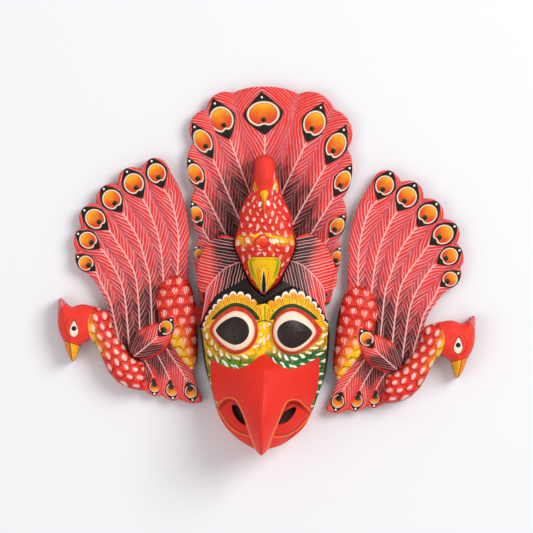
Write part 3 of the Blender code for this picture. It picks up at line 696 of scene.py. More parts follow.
def crest_paint():
    material, kit = start_paint("painted_crest_wood")
    spot = attribute(kit, "spot")
    x, y, kind = spot.parts()
    s, t, seed = attribute(kit, "feather").parts()
    half, width, valley = attribute(kit, "eyelet").parts()
    bird, side, faces_up = attribute(kit, "zones").parts()
    dx, dy = x - 264.0, y - 225.0
    dark = 1.24 - ((dx * dx * 1.1 + dy * dy * 0.86).sqrt() - 22.0) / 50.0
    colour, bump = feather_paint(kit, s, t, half, width, valley, dark, spot, seed)

    wobble = noise(kit, spot, 5.0)
    fall = (y + abs(side) ** 2.0 * ((y - 238.0) * 0.14).low(3.0).high(-3.0) * -2.0) / 6.8
    u, v, seam, luck = scales(kit, fall + (noise(kit, spot, 11.0) - 0.5) * 1.5, side * 3.5 + (wobble - 0.5) * 0.7)
    body = kit.blend(luck * 0.5, RED, FLAME)
    sunny = abs(y - 240.0 - (wobble - 0.5) * 7.0).under(5.0, 2.0) * abs(x - 263.0).over(8.0, 4.0)
    body = kit.blend(sunny * 0.85, body, kit.blend(luck, YELLOW, ORANGE))
    body = kit.blend(seam * 0.7, body, paint_rgb(128, 18, 14))
    dab = dab_of(kit, u, v + (u - 0.5) * (luck - 0.5) * 0.7, 0.26 + luck * 0.16, 0.17, luck, wobble)
    body = kit.blend(dab * 0.95, body, kit.blend(luck.over(0.6, 0.3) * 0.6 + 0.1, WHITE, PINK))
    sway = (noise(kit, spot, 3.4) - 0.5) * 5.0
    bx, by = abs(x - 262.4 + sway), abs(y - 242.0 - sway)
    reach = ((bx / 6.8) ** 2.0 + (by / 5.6) ** 2.0).sqrt()
    boss = kit.blend((y - 242.0 - (wobble - 0.5) * 5.0).under(0.0, 2.0), RED, paint_rgb(238, 92, 30))
    boss = kit.blend(abs(reach - 1.0).under(0.07, 0.07), boss, paint_rgb(136, 22, 16))
    body = kit.blend(reach.under(1.35, 0.12), body, boss)
    for start, end, wide, tint in BOSS_STROKES:
        body = kit.blend(stroke_of(x, y, start, end, wide) * (0.7 + wobble * 0.4).low(1.0), body, tint)
    head = (y + abs(x - 264.8) * 0.22).under(192.4, 0.5)
    collar = y.over(179.0 + abs(x - 264.8) * 0.1, 0.8) * (abs(x - 264.8) - 10.2 + (y - 180.0) * 0.32).over(0.0, 0.4)
    patch = kit.blend(spot_of(x, y, 274.8, 187.0, 1.3, 3.4, 0.3), kit.blend(wobble, YELLOW, ORANGE), WHITE)
    patch = kit.blend(strokes(kit, (x + y * 0.4) / 4.4, 0.10, wobble) * 0.8, patch, FLAME)
    body = kit.blend(head, body, kit.blend(collar, HEAD_RED, patch))
    # Painted highlight: a thin pink streak down the right side of the red head knob
    streak = spot_of(x, y, 274.4, 175.4, 0.55, 6.4, 0.06)
    body = kit.blend(streak, body, PINK)
    mantle = y.over(190.6, 0.3) * y.under(214.0, 1.2)
    knuckle = (kit.maths("EXPONENT", -(((y - 193.6) / 5.6) ** 2.0)) * 3.8).low((y - 190.4).sqrt() * 2.6)
    stem = (abs(x - 264.3) - knuckle.high(((216.0 - y) * 0.14).low(2.2))).under(0.0, 0.25)
    face_mark = kit.blend(y.over(200.0, 4.0), YELLOW, ORANGE)
    plain = abs(x - 264.4).under(7.0, 1.0) * y.over(191.0, 0.4) * y.under(209.0, 1.5)
    body = kit.blend(plain, body, RED)
    body = kit.blend(stem * mantle, body, face_mark)
    neck_spots = spot_of(x, y, 260.1, 204.5, 1.5, 2.6, 0.2).high(spot_of(x, y, 268.3, 203.4, 1.7, 2.8, -0.2))
    body = kit.blend(neck_spots, body, WHITE)

    slant = ((y - 258.4) / 36.0).high(0.0)
    inset = 16.6 * (1 - slant ** 2.0) - abs(x - 264.3)
    inset = 7.0 - ((7.0 - inset).high(0.0) ** 2.0 + (7.0 - (y - 257.4) * 1.3).high(0.0) ** 2.0).sqrt()
    plate = kit.blend((wobble - 0.4) * 0.8, YELLOW, paint_rgb(240, 168, 8))
    for start, end, wide in SHIELD_STROKES:
        plate = kit.blend(stroke_of(x, y, start, end, wide) * 0.9, plate, FLAME)
    band = inset.under(3.9, 0.4) * inset.over(1.4, 0.4) * y.under(278.0, 4.0)
    plate = kit.blend(band * (0.2 + abs(x - 264.3).over(9.0, 3.0) * 0.7), plate, paint_rgb(122, 160, 16))
    for px, py in ((258.6, 268.0), (261.4, 266.2), (265.2, 265.8), (268.0, 268.4), (260.0, 270.8)):
        plate = kit.blend(spot_of(x, y, px, py, 0.55, 0.75), plate, OCHRE)
    slit = (((x - 263.9) / (0.9 + (y - 271.0).high(0.0) * 0.09)) ** 2.0 + ((y - 282.2) / 11.2) ** 2.0)
    # Painted highlight: a cream rim along both sides of the black slit
    plate = kit.blend(slit.under(1.45, 0.2), plate, CREAM)
    plate = kit.blend(slit.under(1.0, 0.15), plate, BLACK)
    # A dark red line round the belly shield: along its top edge it is painted shade under the bulging breast, and down
    # its sides it is the shield's outline
    body = kit.blend(inset.over(-0.7, 0.3) * y.over(257.0, 0.5), body, SHADE_RED)
    body = kit.blend(inset.over(0.0, 0.3), body, plate)
    on = bird.over(0.03, 0.03)
    body = kit.blend(faces_up.under(0.3, 0.12), body, RED)
    body = kit.blend(bird.under(0.9, 0.15), body, SHADE_RED)
    colour = kit.blend(on, colour, body)
    lift = bump + (dab * 0.5 - seam * 0.6 - bump) * on
    return coat(kit, material, colour, 0.42, lift, kind, spot)


crest.data.materials.append(crest_paint())
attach(crest, "root")
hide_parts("crest")
print("crest reaches", [round(v, 3) for v in crest.dimensions])

# %% [markdown]
# ## The face
# The face is a deep block. Its height is a dome across the brow that turns into the two planes of the beak,
# with a sharp ridge between them. The hook of the beak stands over the lower jaw, and the hollow behind
# follows the front at a wall's thickness.

# %% Face sizes
PLUME_LEFT = [(223.0, 235.4), (212.0, 240.0), (206.0, 244.5), (201.0, 254.0), (197.6, 264.0), (196.6, 276.0),
              (198.4, 289.0), (202.4, 294.0), (203.6, 303.0), (202.0, 314.0), (200.3, 323.0)]
CHEEK_LEFT = [(201.8, 331.0), (204.2, 345.0), (206.0, 362.0), (209.4, 380.0), (213.0, 396.0), (216.8, 409.0)]
JAW_LEFT = [(223.0, 423.0), (232.0, 433.6), (243.3, 442.6), (255.0, 448.6)]
BEAK_TIP = [(258.6, 451.8), (261.4, 453.7), (264.4, 451.8)]
JAW_RIGHT = [(267.9, 448.8), (281.5, 445.0), (295.3, 435.7), (305.0, 425.8)]
CHEEK_RIGHT = [(312.0, 412.0), (318.0, 396.0), (323.0, 378.0), (326.0, 356.0), (327.4, 338.0)]
PLUME_RIGHT = [(328.2, 324.0), (325.6, 312.0), (325.0, 303.0), (328.4, 293.0), (335.6, 287.0), (337.4, 275.0),
               (335.0, 264.0), (330.6, 254.0), (324.0, 243.0), (316.6, 237.6), (308.0, 233.6)]
FACE_ROWS = [230.0, 270.0, 300.0, 330.0, 362.0, 384.0, 410.0, 430.0, 445.0, 454.0]
FACE_HALF = [66.0, 71.0, 63.0, 63.5, 60.0, 56.0, 49.0, 35.0, 20.0, 9.0]
FACE_MIDDLE = [264.6, 264.6, 264.6, 264.4, 264.0, 263.4, 262.6, 262.0, 261.8, 261.6]
FACE_EDGE = 34.0
FACE_RISE = 32.0
PLUME_DROP = 9.0
BROW_STEP = 5.0
BROW_ARCH = [(202.0, 327.0), (206.0, 316.0), (218.0, 299.5), (232.7, 291.0), (249.0, 293.6), (261.6, 304.0),
             (276.0, 296.0), (292.7, 288.6), (309.0, 295.0), (321.0, 309.0), (327.0, 323.0)]
EYES = [((234.0, 330.0), 22.6, 22.4, -1), ((292.0, 331.0), 20.4, 22.4, 1)]
EYE_TIP = 25.0
EYE_RISE = 9.0
EYE_LID = 2.6

# %% Beak and hollow sizes
RIDGE_ROWS = [346.0, 356.0, 372.0, 400.0, 425.0, 445.0, 454.0]
RIDGE_RISE = [66.0, 74.0, 88.0, 102.0, 104.0, 98.0, 90.0]
RIDGE_POWER = 1.35
HOOK_LEFT = [(209.0, 417.0), (217.0, 407.4), (223.4, 400.0), (230.0, 397.4), (235.6, 399.4), (239.6, 405.4),
             (244.8, 417.3), (250.0, 433.0), (255.2, 447.0)]
HOOK_RIGHT = [(268.0, 447.0), (273.0, 432.6), (280.0, 416.5), (284.6, 405.0), (289.0, 400.0), (297.6, 400.0),
              (304.5, 405.8), (312.0, 412.4), (319.0, 420.0)]
JAW_EDGE = 36.0
JAW_RISE = 24.0
HOOK_WALL = 1.6
NOSTRILS = [((232.6, 404.6), (246.4, 424.6)), ((295.6, 407.0), (278.6, 424.6))]
NOSTRIL_WIDTH = 8.6
NOSTRIL_DEPTH = 8.0
MOUTH_LEFT = [(218.0, 408.6), (222.4, 417.0), (230.0, 427.0), (239.0, 433.2), (251.0, 436.4)]
MOUTH_RIGHT = [(272.0, 436.4), (285.0, 436.2), (297.0, 430.6), (306.0, 421.0), (311.4, 413.4)]
TIP_TUCK_ROWS = [396.0, 425.0, 454.0]
TIP_TUCK = [0.0, 4.0, 17.0]
FLARE_ROWS = [322.0, 336.0, 372.0, 398.0]
FLARE = [0.0, 2.6, 2.6, 0.0]
WALL_THICK = 13.0
HOLLOW_TOP = 319.0
HOLLOW_DEPTH = 52.0
HOLLOW_ROUND = 17.0
REBATE_EDGE = BOARD_FOOT + GAP
REBATE_DEPTH = BOARD_THICK + RIB_RISE + GAP
print("the beak's ridge stands", max(RIDGE_RISE), "mm out, and the wall round the hollow is", WALL_THICK, "mm thick")


# %% Face outline
def face_loop(step):
    bird = bird_loop(step, GAP)
    lower = bird[bird[:, 1] > 236.6]
    lower = np.roll(lower, -int(np.argmax(np.where(lower[:, 0] < 264, 1e3 - lower[:, 1], -1e3))), axis=0)
    if lower[1][1] < lower[0][1] or abs(lower[1][0] - lower[0][0]) > 20:
        lower = np.roll(lower[::-1], 1, axis=0)
    sides = PLUME_LEFT + CHEEK_LEFT + JAW_LEFT
    left = curve([tuple(lower[0])] + sides, step)
    tip = curve([sides[-1]] + BEAK_TIP + [JAW_RIGHT[0]], step * 0.6)
    right = curve(JAW_RIGHT + CHEEK_RIGHT + PLUME_RIGHT + [tuple(lower[-1])], step)
    return np.vstack([left[:-1], tip[:-1], right[:-1], lower[::-1][:-1]])


HOOK = curve(HOOK_LEFT, 2.0)
HOOK_BACK = curve(HOOK_RIGHT, 2.0)
HOOK_LOOP = np.vstack([HOOK, [[258.6, 458.0], [264.4, 458.0]], HOOK_BACK, [[345.0, 420.0], [345.0, 340.0],
                       [185.0, 340.0], [185.0, 417.0]]])
BROW = np.vstack([curve(BROW_ARCH, 2.5), [[345.0, 330.0], [345.0, 470.0], [185.0, 470.0], [185.0, 330.0]]])


def eye_loop(eye, count, grow=0.0):
    (cx, cy), across, up, side = eye
    a = 2 * np.pi * np.arange(count) / count
    reach = across + (EYE_TIP - across) * np.maximum(0.0, np.cos(a)) ** 6 + grow
    return np.column_stack([cx + side * reach * np.cos(a), cy + (up + grow) * np.sin(a)])


def nostril_loop(ends, count):
    a, b = np.array(ends[0]), np.array(ends[1])
    along = (b - a) / np.linalg.norm(b - a)
    t = 2 * np.pi * np.arange(count)[:, None] / count
    return ((a + b) / 2 - along * np.linalg.norm(b - a) / 2 * np.cos(t)
            + np.array([-along[1], along[0]]) * NOSTRIL_WIDTH / 2 * np.sin(t) * (0.86 + 0.14 * abs(np.sin(t))))


# %% Face height
def face_height(p):
    x, y = p[:, 0], p[:, 1]
    u = np.clip(abs(x - smooth(y, FACE_ROWS, FACE_MIDDLE)) / smooth(y, FACE_ROWS, FACE_HALF), 0, 1)
    brow = FACE_EDGE + FACE_RISE * np.sqrt(1 - u * u)
    brow = brow - PLUME_DROP * ease((300 - y) / 40) - BROW_STEP * ease(-depth_in(BROW, p) / 1.6)
    for eye in EYES:
        d = depth_in(eye_loop(eye, 60), p)
        brow = brow + EYE_LID * ease(d / 1.6) + EYE_RISE * round_over(np.clip(d, 0, 20) / 20)
    ridge = smooth(y, RIDGE_ROWS, RIDGE_RISE)
    beak = ridge - (ridge - FACE_EDGE) * u ** RIDGE_POWER
    mix = ease((y - 348) / 22)
    upper = np.where(y > 346, brow * (1 - mix) + beak * mix, brow)
    jaw = JAW_EDGE + JAW_RISE * np.clip(1 - u * u, 0, 1)
    for ends in NOSTRILS:
        jaw = jaw - NOSTRIL_DEPTH * ease(depth_in(nostril_loop(ends, 36), p) / 1.4)
    jaw = np.minimum(jaw, upper)
    return np.where(y > 380, jaw + (upper - jaw) * ease(depth_in(HOOK_LOOP, p) / HOOK_WALL + 1), upper)


# %% Carve the face
face_rim = face_loop(RIM_STEP)
tuck = np.interp(face_rim[:, 1], TIP_TUCK_ROWS, TIP_TUCK)
wider = 1 - tuck / 60.0 + np.interp(face_rim[:, 1], FLARE_ROWS, FLARE) / 60.0
face_base = np.column_stack([261.4 + (face_rim[:, 0] - 261.4) * wider, face_rim[:, 1] - tuck])
ridge_rows = np.arange(356.0, 452.0, 2.0)
ridge_line = np.column_stack([smooth(ridge_rows, FACE_ROWS, FACE_MIDDLE), ridge_rows])
hook_foot = offset(HOOK_LOOP, HOOK_WALL)
arch = curve(BROW_ARCH, 1.6)
creases = [(arch, False), (ridge_line, False), (HOOK, False), (HOOK_BACK, False), (hook_foot[:len(HOOK)], False),
           (hook_foot[len(HOOK) + 2:len(HOOK) + 2 + len(HOOK_BACK)], False)]
creases += [(eye_loop(eye, 90), True) for eye in EYES] + [(nostril_loop(ends, 36), True) for ends in NOSTRILS]
low = face_base[face_base[:, 1] > HOLLOW_TOP - 6.0]
low = np.roll(low, -int(np.argmin(low[:, 1] + np.where(low[:, 0] > 264, 1e3, 0))), axis=0)
inner = offset(low, -WALL_THICK)
inner = inner[(inner[:, 1] > HOLLOW_TOP + 1.0) & (gap_to(face_base, inner) > WALL_THICK - 0.6)]
mouth = np.vstack([inner, [[inner[-1][0], HOLLOW_TOP], [264.0, HOLLOW_TOP], [inner[0][0], HOLLOW_TOP]]])


def hollow(p):
    d = depth_in(mouth, p)
    bowl = HOLLOW_DEPTH * round_over(d / HOLLOW_ROUND)
    inside = np.minimum(bowl, np.maximum(face_height(p) - WALL_THICK, 0))
    return np.where(d > 0.01, inside, np.where(p[:, 1] < REBATE_EDGE, REBATE_DEPTH, 0.0))


step_lines = [(np.array([[206.5, REBATE_EDGE - 0.05], [323.0, REBATE_EDGE - 0.05]]), False),
              (np.array([[206.5, REBATE_EDGE + 0.05], [323.0, REBATE_EDGE + 0.05]]), False)]
face, flat, tris, kind = carve("mask_face", face_rim, kept_inside(creases, face_rim, 0.9), FACE_NET, face_height,
                               face_base, [(mouth, True)] + step_lines, HOLLOW_NET, hollow, (0.2, 0.4, 0.6, 0.8), 1.6)

# %% [markdown]
# ## What the brush needs to know about the face
# The eye's rings, the petals of the brow, the plumes beside the bird and the lines round the beak are all
# painted, not carved. For each we note a distance or a pair of coordinates at every corner.

# %% Face drawing
def eye_shape(cx, cy, blunt, sharp, up, down, side):
    a = 2 * np.pi * np.arange(96) / 96
    c, s = np.cos(a), np.sin(a)
    power = np.where(c > 0, 1.45, 2.0)
    size = (abs(c) ** power + abs(s) ** power) ** (-1 / power)
    return np.column_stack([cx + side * size * c * np.where(c > 0, sharp, blunt),
                            cy + size * s * np.where(s > 0, down, up)])


# Lid, white and pupil of the left eye and then of the right one: centre, and how far it reaches each way
EYE_SIZES = [[(234.8, 330.0, 23.4, 25.2, 23.6, 24.0), (293.0, 331.4, 21.4, 29.0, 24.2, 23.0)],
             [(235.4, 330.0, 19.4, 22.4, 19.4, 20.0), (293.4, 331.6, 20.2, 22.8, 20.8, 19.6)],
             [(235.0, 330.2, 14.4, 19.0, 14.0, 14.2), (293.0, 332.4, 16.0, 19.4, 12.8, 15.4)]]
EYE_RINGS = [[eye_shape(*left_size, -1), eye_shape(*right_size, 1)] for left_size, right_size in EYE_SIZES]
BEAK_LOOP = np.vstack([curve([(210.4, 357.6), (222.0, 364.6), (235.6, 368.0), (249.0, 363.6), (264.3, 353.8),
                              (277.0, 363.4), (290.0, 368.2), (305.0, 364.0), (319.2, 356.8)], 1.5),
                       curve([(319.6, 372.0), (318.0, 386.0), (314.6, 400.0), (312.0, 413.0), (330.0, 470.0)], 1.5),
                       curve([(195.0, 470.0), (217.2, 412.0), (213.4, 397.0), (210.9, 381.0), (210.4, 368.0)], 1.5)])
PLUME_HEM = np.array([(243.4, 279.0), (234.0, 285.0), (225.0, 289.4), (216.0, 295.0), (210.4, 303.0), (205.6, 312.0),
                      (199.0, 326.0), (199.0, 480.0), (331.0, 480.0), (331.0, 329.0), (325.0, 315.6), (321.0, 307.6),
                      (315.0, 299.5), (309.0, 295.0), (301.0, 290.0), (292.0, 285.4), (283.6, 281.0), (264.0, 270.0)])
SHAFTS = [curve([(241.0, 261.4), (234.0, 264.0), (226.8, 267.2), (219.0, 273.6), (212.0, 281.2), (206.6, 289.0),
                 (205.2, 300.0), (200.6, 324.0)], 1.5),
          curve([(290.0, 260.8), (296.0, 262.2), (303.0, 265.4), (310.4, 271.6), (317.4, 278.8), (323.2, 287.2),
                 (325.2, 298.0), (328.6, 326.0)], 1.5)]
eye_depth = [np.maximum(depth_in(pair[0], flat), depth_in(pair[1], flat)) for pair in EYE_RINGS]
eye_x = np.where(flat[:, 0] < 264.2, 234.6, 292.6)
eye_y = np.where(flat[:, 0] < 264.2, 329.0, 330.6)
round_eye = np.arctan2(flat[:, 0] - eye_x, eye_y - flat[:, 1]) * 31.0
outside = np.maximum(-eye_depth[0], 0)
brow_depth = depth_in(BROW, flat)
share = outside / np.maximum(outside + np.maximum(brow_depth, 0), 0.5)
shaft_gap = np.minimum(gap_to(SHAFTS[0], flat, False), gap_to(SHAFTS[1], flat, False))
above = np.vstack([SHAFTS[0][::-1], SHAFTS[1], [[345.0, 326.0], [345.0, 200.0], [185.0, 200.0], [185.0, 324.0]]])
corners = flat[tris]
note(face, "spot", corners[..., 0], corners[..., 1], kind[:, None])
note(face, "eyes", *[d[tris] for d in eye_depth])
note(face, "forms", brow_depth[tris], depth_in(BEAK_LOOP, flat)[tris], depth_in(HOOK_LOOP, flat)[tris])
note(face, "petals", round_eye[tris], share[tris], outside[tris])
note(face, "plumes", depth_in(PLUME_HEM, flat)[tris], (shaft_gap * np.where(is_in(above, flat), 1, -1))[tris],
     -depth_in(BIRD, flat)[tris])
mouths = np.minimum(gap_to(curve(MOUTH_LEFT, 1.5), flat, False), gap_to(curve(MOUTH_RIGHT, 1.5), flat, False))
lips = np.array(MOUTH_LEFT + MOUTH_RIGHT)
mouths = np.where(flat[:, 1] < np.interp(flat[:, 0], lips[:, 0], lips[:, 1]), mouths, -mouths)
slots = np.maximum(depth_in(nostril_loop(NOSTRILS[0], 36), flat), depth_in(nostril_loop(NOSTRILS[1], 36), flat))
note(face, "lines", mouths[tris], slots[tris], gap_to(face_rim, flat)[tris])
print("the face's notes are", [layer.name for layer in face.data.attributes if layer.domain == "CORNER"])


# %% [markdown]
# ## Painting the face
# The paint goes on as it does with a brush: first the plumes, then the petals and scales round the eyes, the beak,
# and the eyes at the end. Each `blend` lays one colour over what is there, and its mask says where.

# %% Face paint
def face_paint():
    material, kit = start_paint("painted_face_wood")
    spot = attribute(kit, "spot")
    x, y, kind = spot.parts()
    lid, white, pupil = attribute(kit, "eyes").parts()
    brow, beak, hook = attribute(kit, "forms").parts()
    around, share, away = attribute(kit, "petals").parts()
    hem, shaft, bird = attribute(kit, "plumes").parts()
    mouth, slot, rim = attribute(kit, "lines").parts()
    wobble = noise(kit, spot, 7.0)
    patch = noise(kit, spot, 15.0)
    fine = noise(kit, spot, 3.0)
    out = abs(x - 264.4)

    line = shaft.over(0.0, 0.05)
    barb = strokes(kit, y / 3.2 + (x - 264.0) ** 2.0 * 0.0007, 0.07 + fine * 0.08, wobble)
    low_barb = strokes(kit, (out - (y - 290.0) * 0.22) / 2.9, 0.08 + fine * 0.08, wobble)
    stroke = low_barb + (barb - low_barb) * line
    night = (1.0 - (out - 30.0 - (260.0 - y).high(0.0) * 0.25) / 36.0 + (patch - 0.5) * 0.4 - (1 - line) * 0.1)
    night = night.over(0.5, 0.2)
    plume = kit.blend(line.under(0.5, 0.1) * 0.35 + (wobble - 0.5) * 0.6, RED, ROSE)
    plume = kit.blend(night, plume, BLACK)
    plume = kit.blend(stroke * 0.85, plume, kit.blend(night * 0.4, PINK, ROSE))
    plume = kit.blend(abs(shaft).under(0.95 - night * 0.4, 0.3) * 0.9, plume, kit.blend(line, PINK, ROSE))
    gap = line * (y - (out - 57.0) * 0.3).over(291.5, 0.8) * (abs(shaft) - 0.9).over(0.0, 0.3)
    plume = kit.blend(gap, plume, BLACK)
    tuft = abs((((out - 66.5) / 2.2) ** 2.0 + ((y - 302.0) / 8.0) ** 2.0).sqrt() - 1.0)
    plume = kit.blend(tuft.under(0.18, 0.1) * gap, plume, PINK)
    plume = kit.blend(rim.under(2.6, 0.4) * abs(out - 37.0).under(9.5, 1.0) * y.under(238.0, 1.0), plume, RED)
    colour = kit.blend(hem.over(0.0, 0.2), plume, BLACK)

    leafs = around / 7.0 + 0.72 - x.over(264.2, 0.1) * 0.29 + (wobble - 0.5) * 0.2
    mid = leafs.fract() - 0.5
    bow = (1 - (mid * 2.0) ** 2.0).sqrt()
    tip, crown = 0.62 + 0.36 * bow, 0.59 + 0.25 * bow
    petal = kit.blend((share + (patch - 0.5) * 0.9 + (fine - 0.5) * 0.5).over(0.52, 0.35), YELLOW,
                      paint_rgb(244, 158, 12))
    petal = kit.blend(abs(mid).over(0.45, 0.04) * 0.8, petal, paint_rgb(104, 64, 12))
    vein = abs(abs(mid - 0.04 + (wobble - 0.5) * 0.2) - 0.17).under(0.06, 0.04)
    vein = vein * share.over(0.3, 0.1) * share.under(0.72, 0.1)
    petal = kit.blend(vein * fine.over(0.42, 0.12) * 0.9, petal, OCHRE)
    petal = kit.blend((share - crown).over(0.0, 0.03) * out.over(10.5, 1.5), petal, WHITE)
    petal = kit.blend((share - tip).over(0.0, 0.03), petal, BLACK)
    within = 8.2 * (1 - ((312.0 - y).high(0.0) / 8.6) ** 2.0).sqrt() - (y - 312.0).high(0.0) * 0.18 - out
    grain = abs(out - 2.6 - (320.0 - y) * 0.12).low(abs(out - 5.0 - (320.0 - y) * 0.04))
    pair = kit.blend(grain.under(0.42, 0.25) * y.over(307.5, 1.5), YELLOW, OCHRE)
    pair = kit.blend(within.under(0.5, 0.2), pair, paint_rgb(96, 70, 14))
    petal = kit.blend(within.over(0.0, 0.2), petal, pair)
    petal = kit.blend(abs(x - 265.0).under(0.75, 0.25) * y.over(305.5, 1.0), petal, LEAF)

    u, v, seam, luck = scales(kit, away / 8.2 + (wobble - 0.5) * 0.7,
                              (around + away * 0.4) / 8.4 + (wobble - 0.5) * 0.5)
    green = (y - 348.0 + x.over(264.0, 4.0) * 6.0 + (patch - 0.5) * 12.0 + (out - 26.0).high(0.0) * 0.1).over(9.0, 5.0)
    grass = kit.blend(patch.over(0.5, 0.1) * out.over(42.0, 5.0), LEAF, paint_rgb(206, 184, 22))
    leafy = kit.blend(x.over(264.0, 4.0), grass, paint_rgb(36, 118, 50))
    scale = kit.blend((wobble + out.over(38.0, 12.0) * 0.5).over(0.62, 0.15) * 0.85, YELLOW, paint_rgb(206, 152, 12))
    scale = kit.blend(green, scale, kit.blend(fine * 0.6, leafy, FOREST))
    seam_tint = kit.blend((fine + (out - 30.0) * 0.01).over(0.44, 0.08), OCHRE, paint_rgb(36, 32, 14))
    scale = kit.blend(seam * 0.9, scale, seam_tint)
    dash = (((u - 0.48) / 0.27) ** 2.0 + ((v + (u - 0.46) * 0.8) / (0.17 + luck * 0.09)) ** 2.0).under(1.0, 0.3)
    dash = dash * (out.over(15.0, 3.0) + luck.over(0.5, 0.01)).low(1.0)
    scale = kit.blend(dash * 0.95, scale, WHITE)
    low = (y - (out - 8.0).low(0.0) * 0.05 - (out - 46.0).high(0.0) * 0.4 + (wobble - 0.5) * 1.6).over(322.0, 0.8)
    skin = kit.blend(low, petal, scale)
    arch = abs(y - 320.4 - out ** 2.0 * 0.045).under(0.55, 0.25) * out.under(7.6, 0.5)
    skin = kit.blend(arch, skin, FOREST)
    glint = spot_of(x, y, 264.4, 325.6, 1.1, 3.2).high(spot_of(x, y, 264.0, 340.0, 1.1, 4.2))
    lane = (out - 1.6 - (345.0 - y).high(0.0) * 0.10).under(0.0, 0.6) * low * y.under(352.0, 2.0)
    skin = kit.blend(lane, skin, kit.blend(glint * 0.85, YELLOW, WHITE))
    colour = kit.blend(brow.over(0.0, 0.2), colour, skin)
    around_in = around * (1 - x.over(264.2, 0.1) * 2.0)
    arc_width = 3.8 + around_in * 0.012
    arc = (away - arc_width).under(0.0, 0.25) * away.over(0.0, 0.2) * (y + (wobble - 0.5)).under(319.6, 0.5)
    colour = kit.blend(arc * brow.over(0.0, 0.2), colour, kit.blend(wobble * 0.8, paint_rgb(22, 56, 16), FOREST))

    bill = kit.blend((wobble - 0.3) * 0.5, paint_rgb(226, 42, 26), paint_rgb(236, 58, 38))
    bill = kit.blend(abs(hook - 0.5).under(0.36, 0.16) * y.over(392.0, 1.0), bill, LIP_ORANGE)
    ring = abs(hook + 3.2).under(0.42, 0.25) * y.under(420.0, 3.0) * y.over(396.0, 1.0)
    bill = kit.blend(ring * 0.8, bill, BLACK)
    jaw = hook.under(-1.0, 0.3)
    bill = kit.blend(abs(mouth).under(0.36, 0.16) * jaw, bill, LIP_ORANGE)
    # Painted shadow: a dark line just above the orange mouth line, where the hook overhangs the jaw
    bill = kit.blend(abs(mouth - 2.2).under(0.4, 0.3) * jaw * y.over(418.0, 2.0) * 0.6, bill, BLACK)
    opening = slot + ((hook + 5.4) / 4.0).high(0.0) * 1.5 - (y - 422.0).high(0.0)
    bill = kit.blend(opening.over(0.0, 0.3) * jaw, bill, paint_rgb(60, 34, 28))
    colour = kit.blend(beak.over(0.0, 0.15), colour, bill)

    red_ring = kit.blend(wobble.over(0.5, 0.2) * 0.7, paint_rgb(206, 44, 30), paint_rgb(232, 74, 52))
    colour = kit.blend(lid.over(0.0, 0.2), colour, red_ring)
    brushed = strokes(kit, white / 1.3, 0.2, fine) * 0.25
    ivory = kit.blend(white.under(1.0, 0.8) * 0.7 + brushed, CREAM, paint_rgb(236, 176, 150))
    colour = kit.blend(white.over(0.0, 0.25), colour, ivory)
    black = kit.blend(noise(kit, spot, 4.0) * 0.5, paint_rgb(34, 24, 22), paint_rgb(60, 42, 38))
    colour = kit.blend(pupil.over(0.0, 0.2), colour, black)
    # The walls are darker red under the plumes, dark brown along the cheeks and red below; the brown is partly the
    # wall's own dark paint and partly painted shade of the narrow gap beside the side birds
    wall_paint_and_shade = kit.blend((y + (wobble - 0.5) * 8.0).over(322.0, 3.0), SHADE_RED, paint_rgb(58, 34, 26))
    wall_paint_and_shade = kit.blend((y + (wobble - 0.5) * 8.0).over(400.0, 5.0), wall_paint_and_shade, RED)
    colour = kit.blend(kind.under(0.5, 0.1), colour, wall_paint_and_shade)
    bump = stroke * 0.4 * hem.under(0.0, 0.3) + seam * -0.4 * brow.over(0.0, 0.2) * beak.under(0.0, 0.2) * low
    return finish_paint(kit, material, colour, 0.42 - pupil.over(0.0, 0.3) * 0.12, bump, kind, spot)


face.data.materials.append(face_paint())
for corners_of in (TAB_LEFT, TAB_RIGHT):
    joint_box(face, corners_of, TAB_CLEARANCE, "DIFFERENCE")
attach(face, "root")
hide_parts("mask_face")
print("face reaches", [round(v, 3) for v in face.dimensions])

# %% [markdown]
# ## The side birds
# Each side bird is a flat relief of a peacock in profile: a fan behind, then the neck, the scaled rump, and a
# wing leaf on top. The feathers of its fan bend like grass, so both their shafts and the valleys between them are
# curves. The right bird is the left one turned over, so both are carved by the same function and the right one is
# then flipped and turned a little about its inner end, as it sits on the mask.

# %% Side bird sizes
SIDE_JOINTS = [(187.0, 279.0), (187.6, 247.0), (170.0, 172.0), (139.4, 168.6), (116.4, 183.8), (95.4, 203.0),
               (80.6, 227.0), (75.4, 251.0), (86.0, 273.0), (99.0, 290.0), (108.5, 313.0)]
SIDE_BULGES = [0.5, 6.5, 13.0, 8.5, 8.0, 9.0, 5.0, 5.5, -1.0, -1.5]
HEAD = [(100.0, 309.0), (92.0, 306.6), (80.5, 304.6), (70.4, 307.0), (65.0, 303.4), (58.4, 298.6), (57.0, 312.0),
        (56.8, 323.0), (58.6, 332.6), (62.8, 341.6)]
BEAK = [(66.6, 353.6), (72.0, 362.0), (76.4, 354.4), (79.4, 345.8), (89.8, 339.4)]
BREAST = [(96.4, 348.0), (102.6, 361.5), (109.2, 374.2), (118.4, 383.6), (130.0, 389.2), (144.6, 391.4)]
TAIL = [(149.4, 395.4), (156.0, 397.0), (161.8, 396.0), (166.6, 399.6), (173.0, 401.6), (180.0, 400.4),
        (187.4, 403.8), (196.6, 403.8), (202.0, 401.0), (197.4, 389.0), (192.2, 370.6)]
RUMP = [(197.2, 359.0), (197.0, 331.0), (195.0, 304.0), (190.8, 287.0)]
NECK_BACK = [(144.4, 383.0), (143.6, 373.0), (142.0, 364.0), (131.0, 357.3), (121.4, 343.6), (113.2, 333.0)]
RUMP_BACK = [(180.0, 276.2), (170.6, 276.8), (161.0, 283.6), (156.8, 296.0), (157.4, 312.0), (168.0, 340.0),
             (191.0, 370.0)]
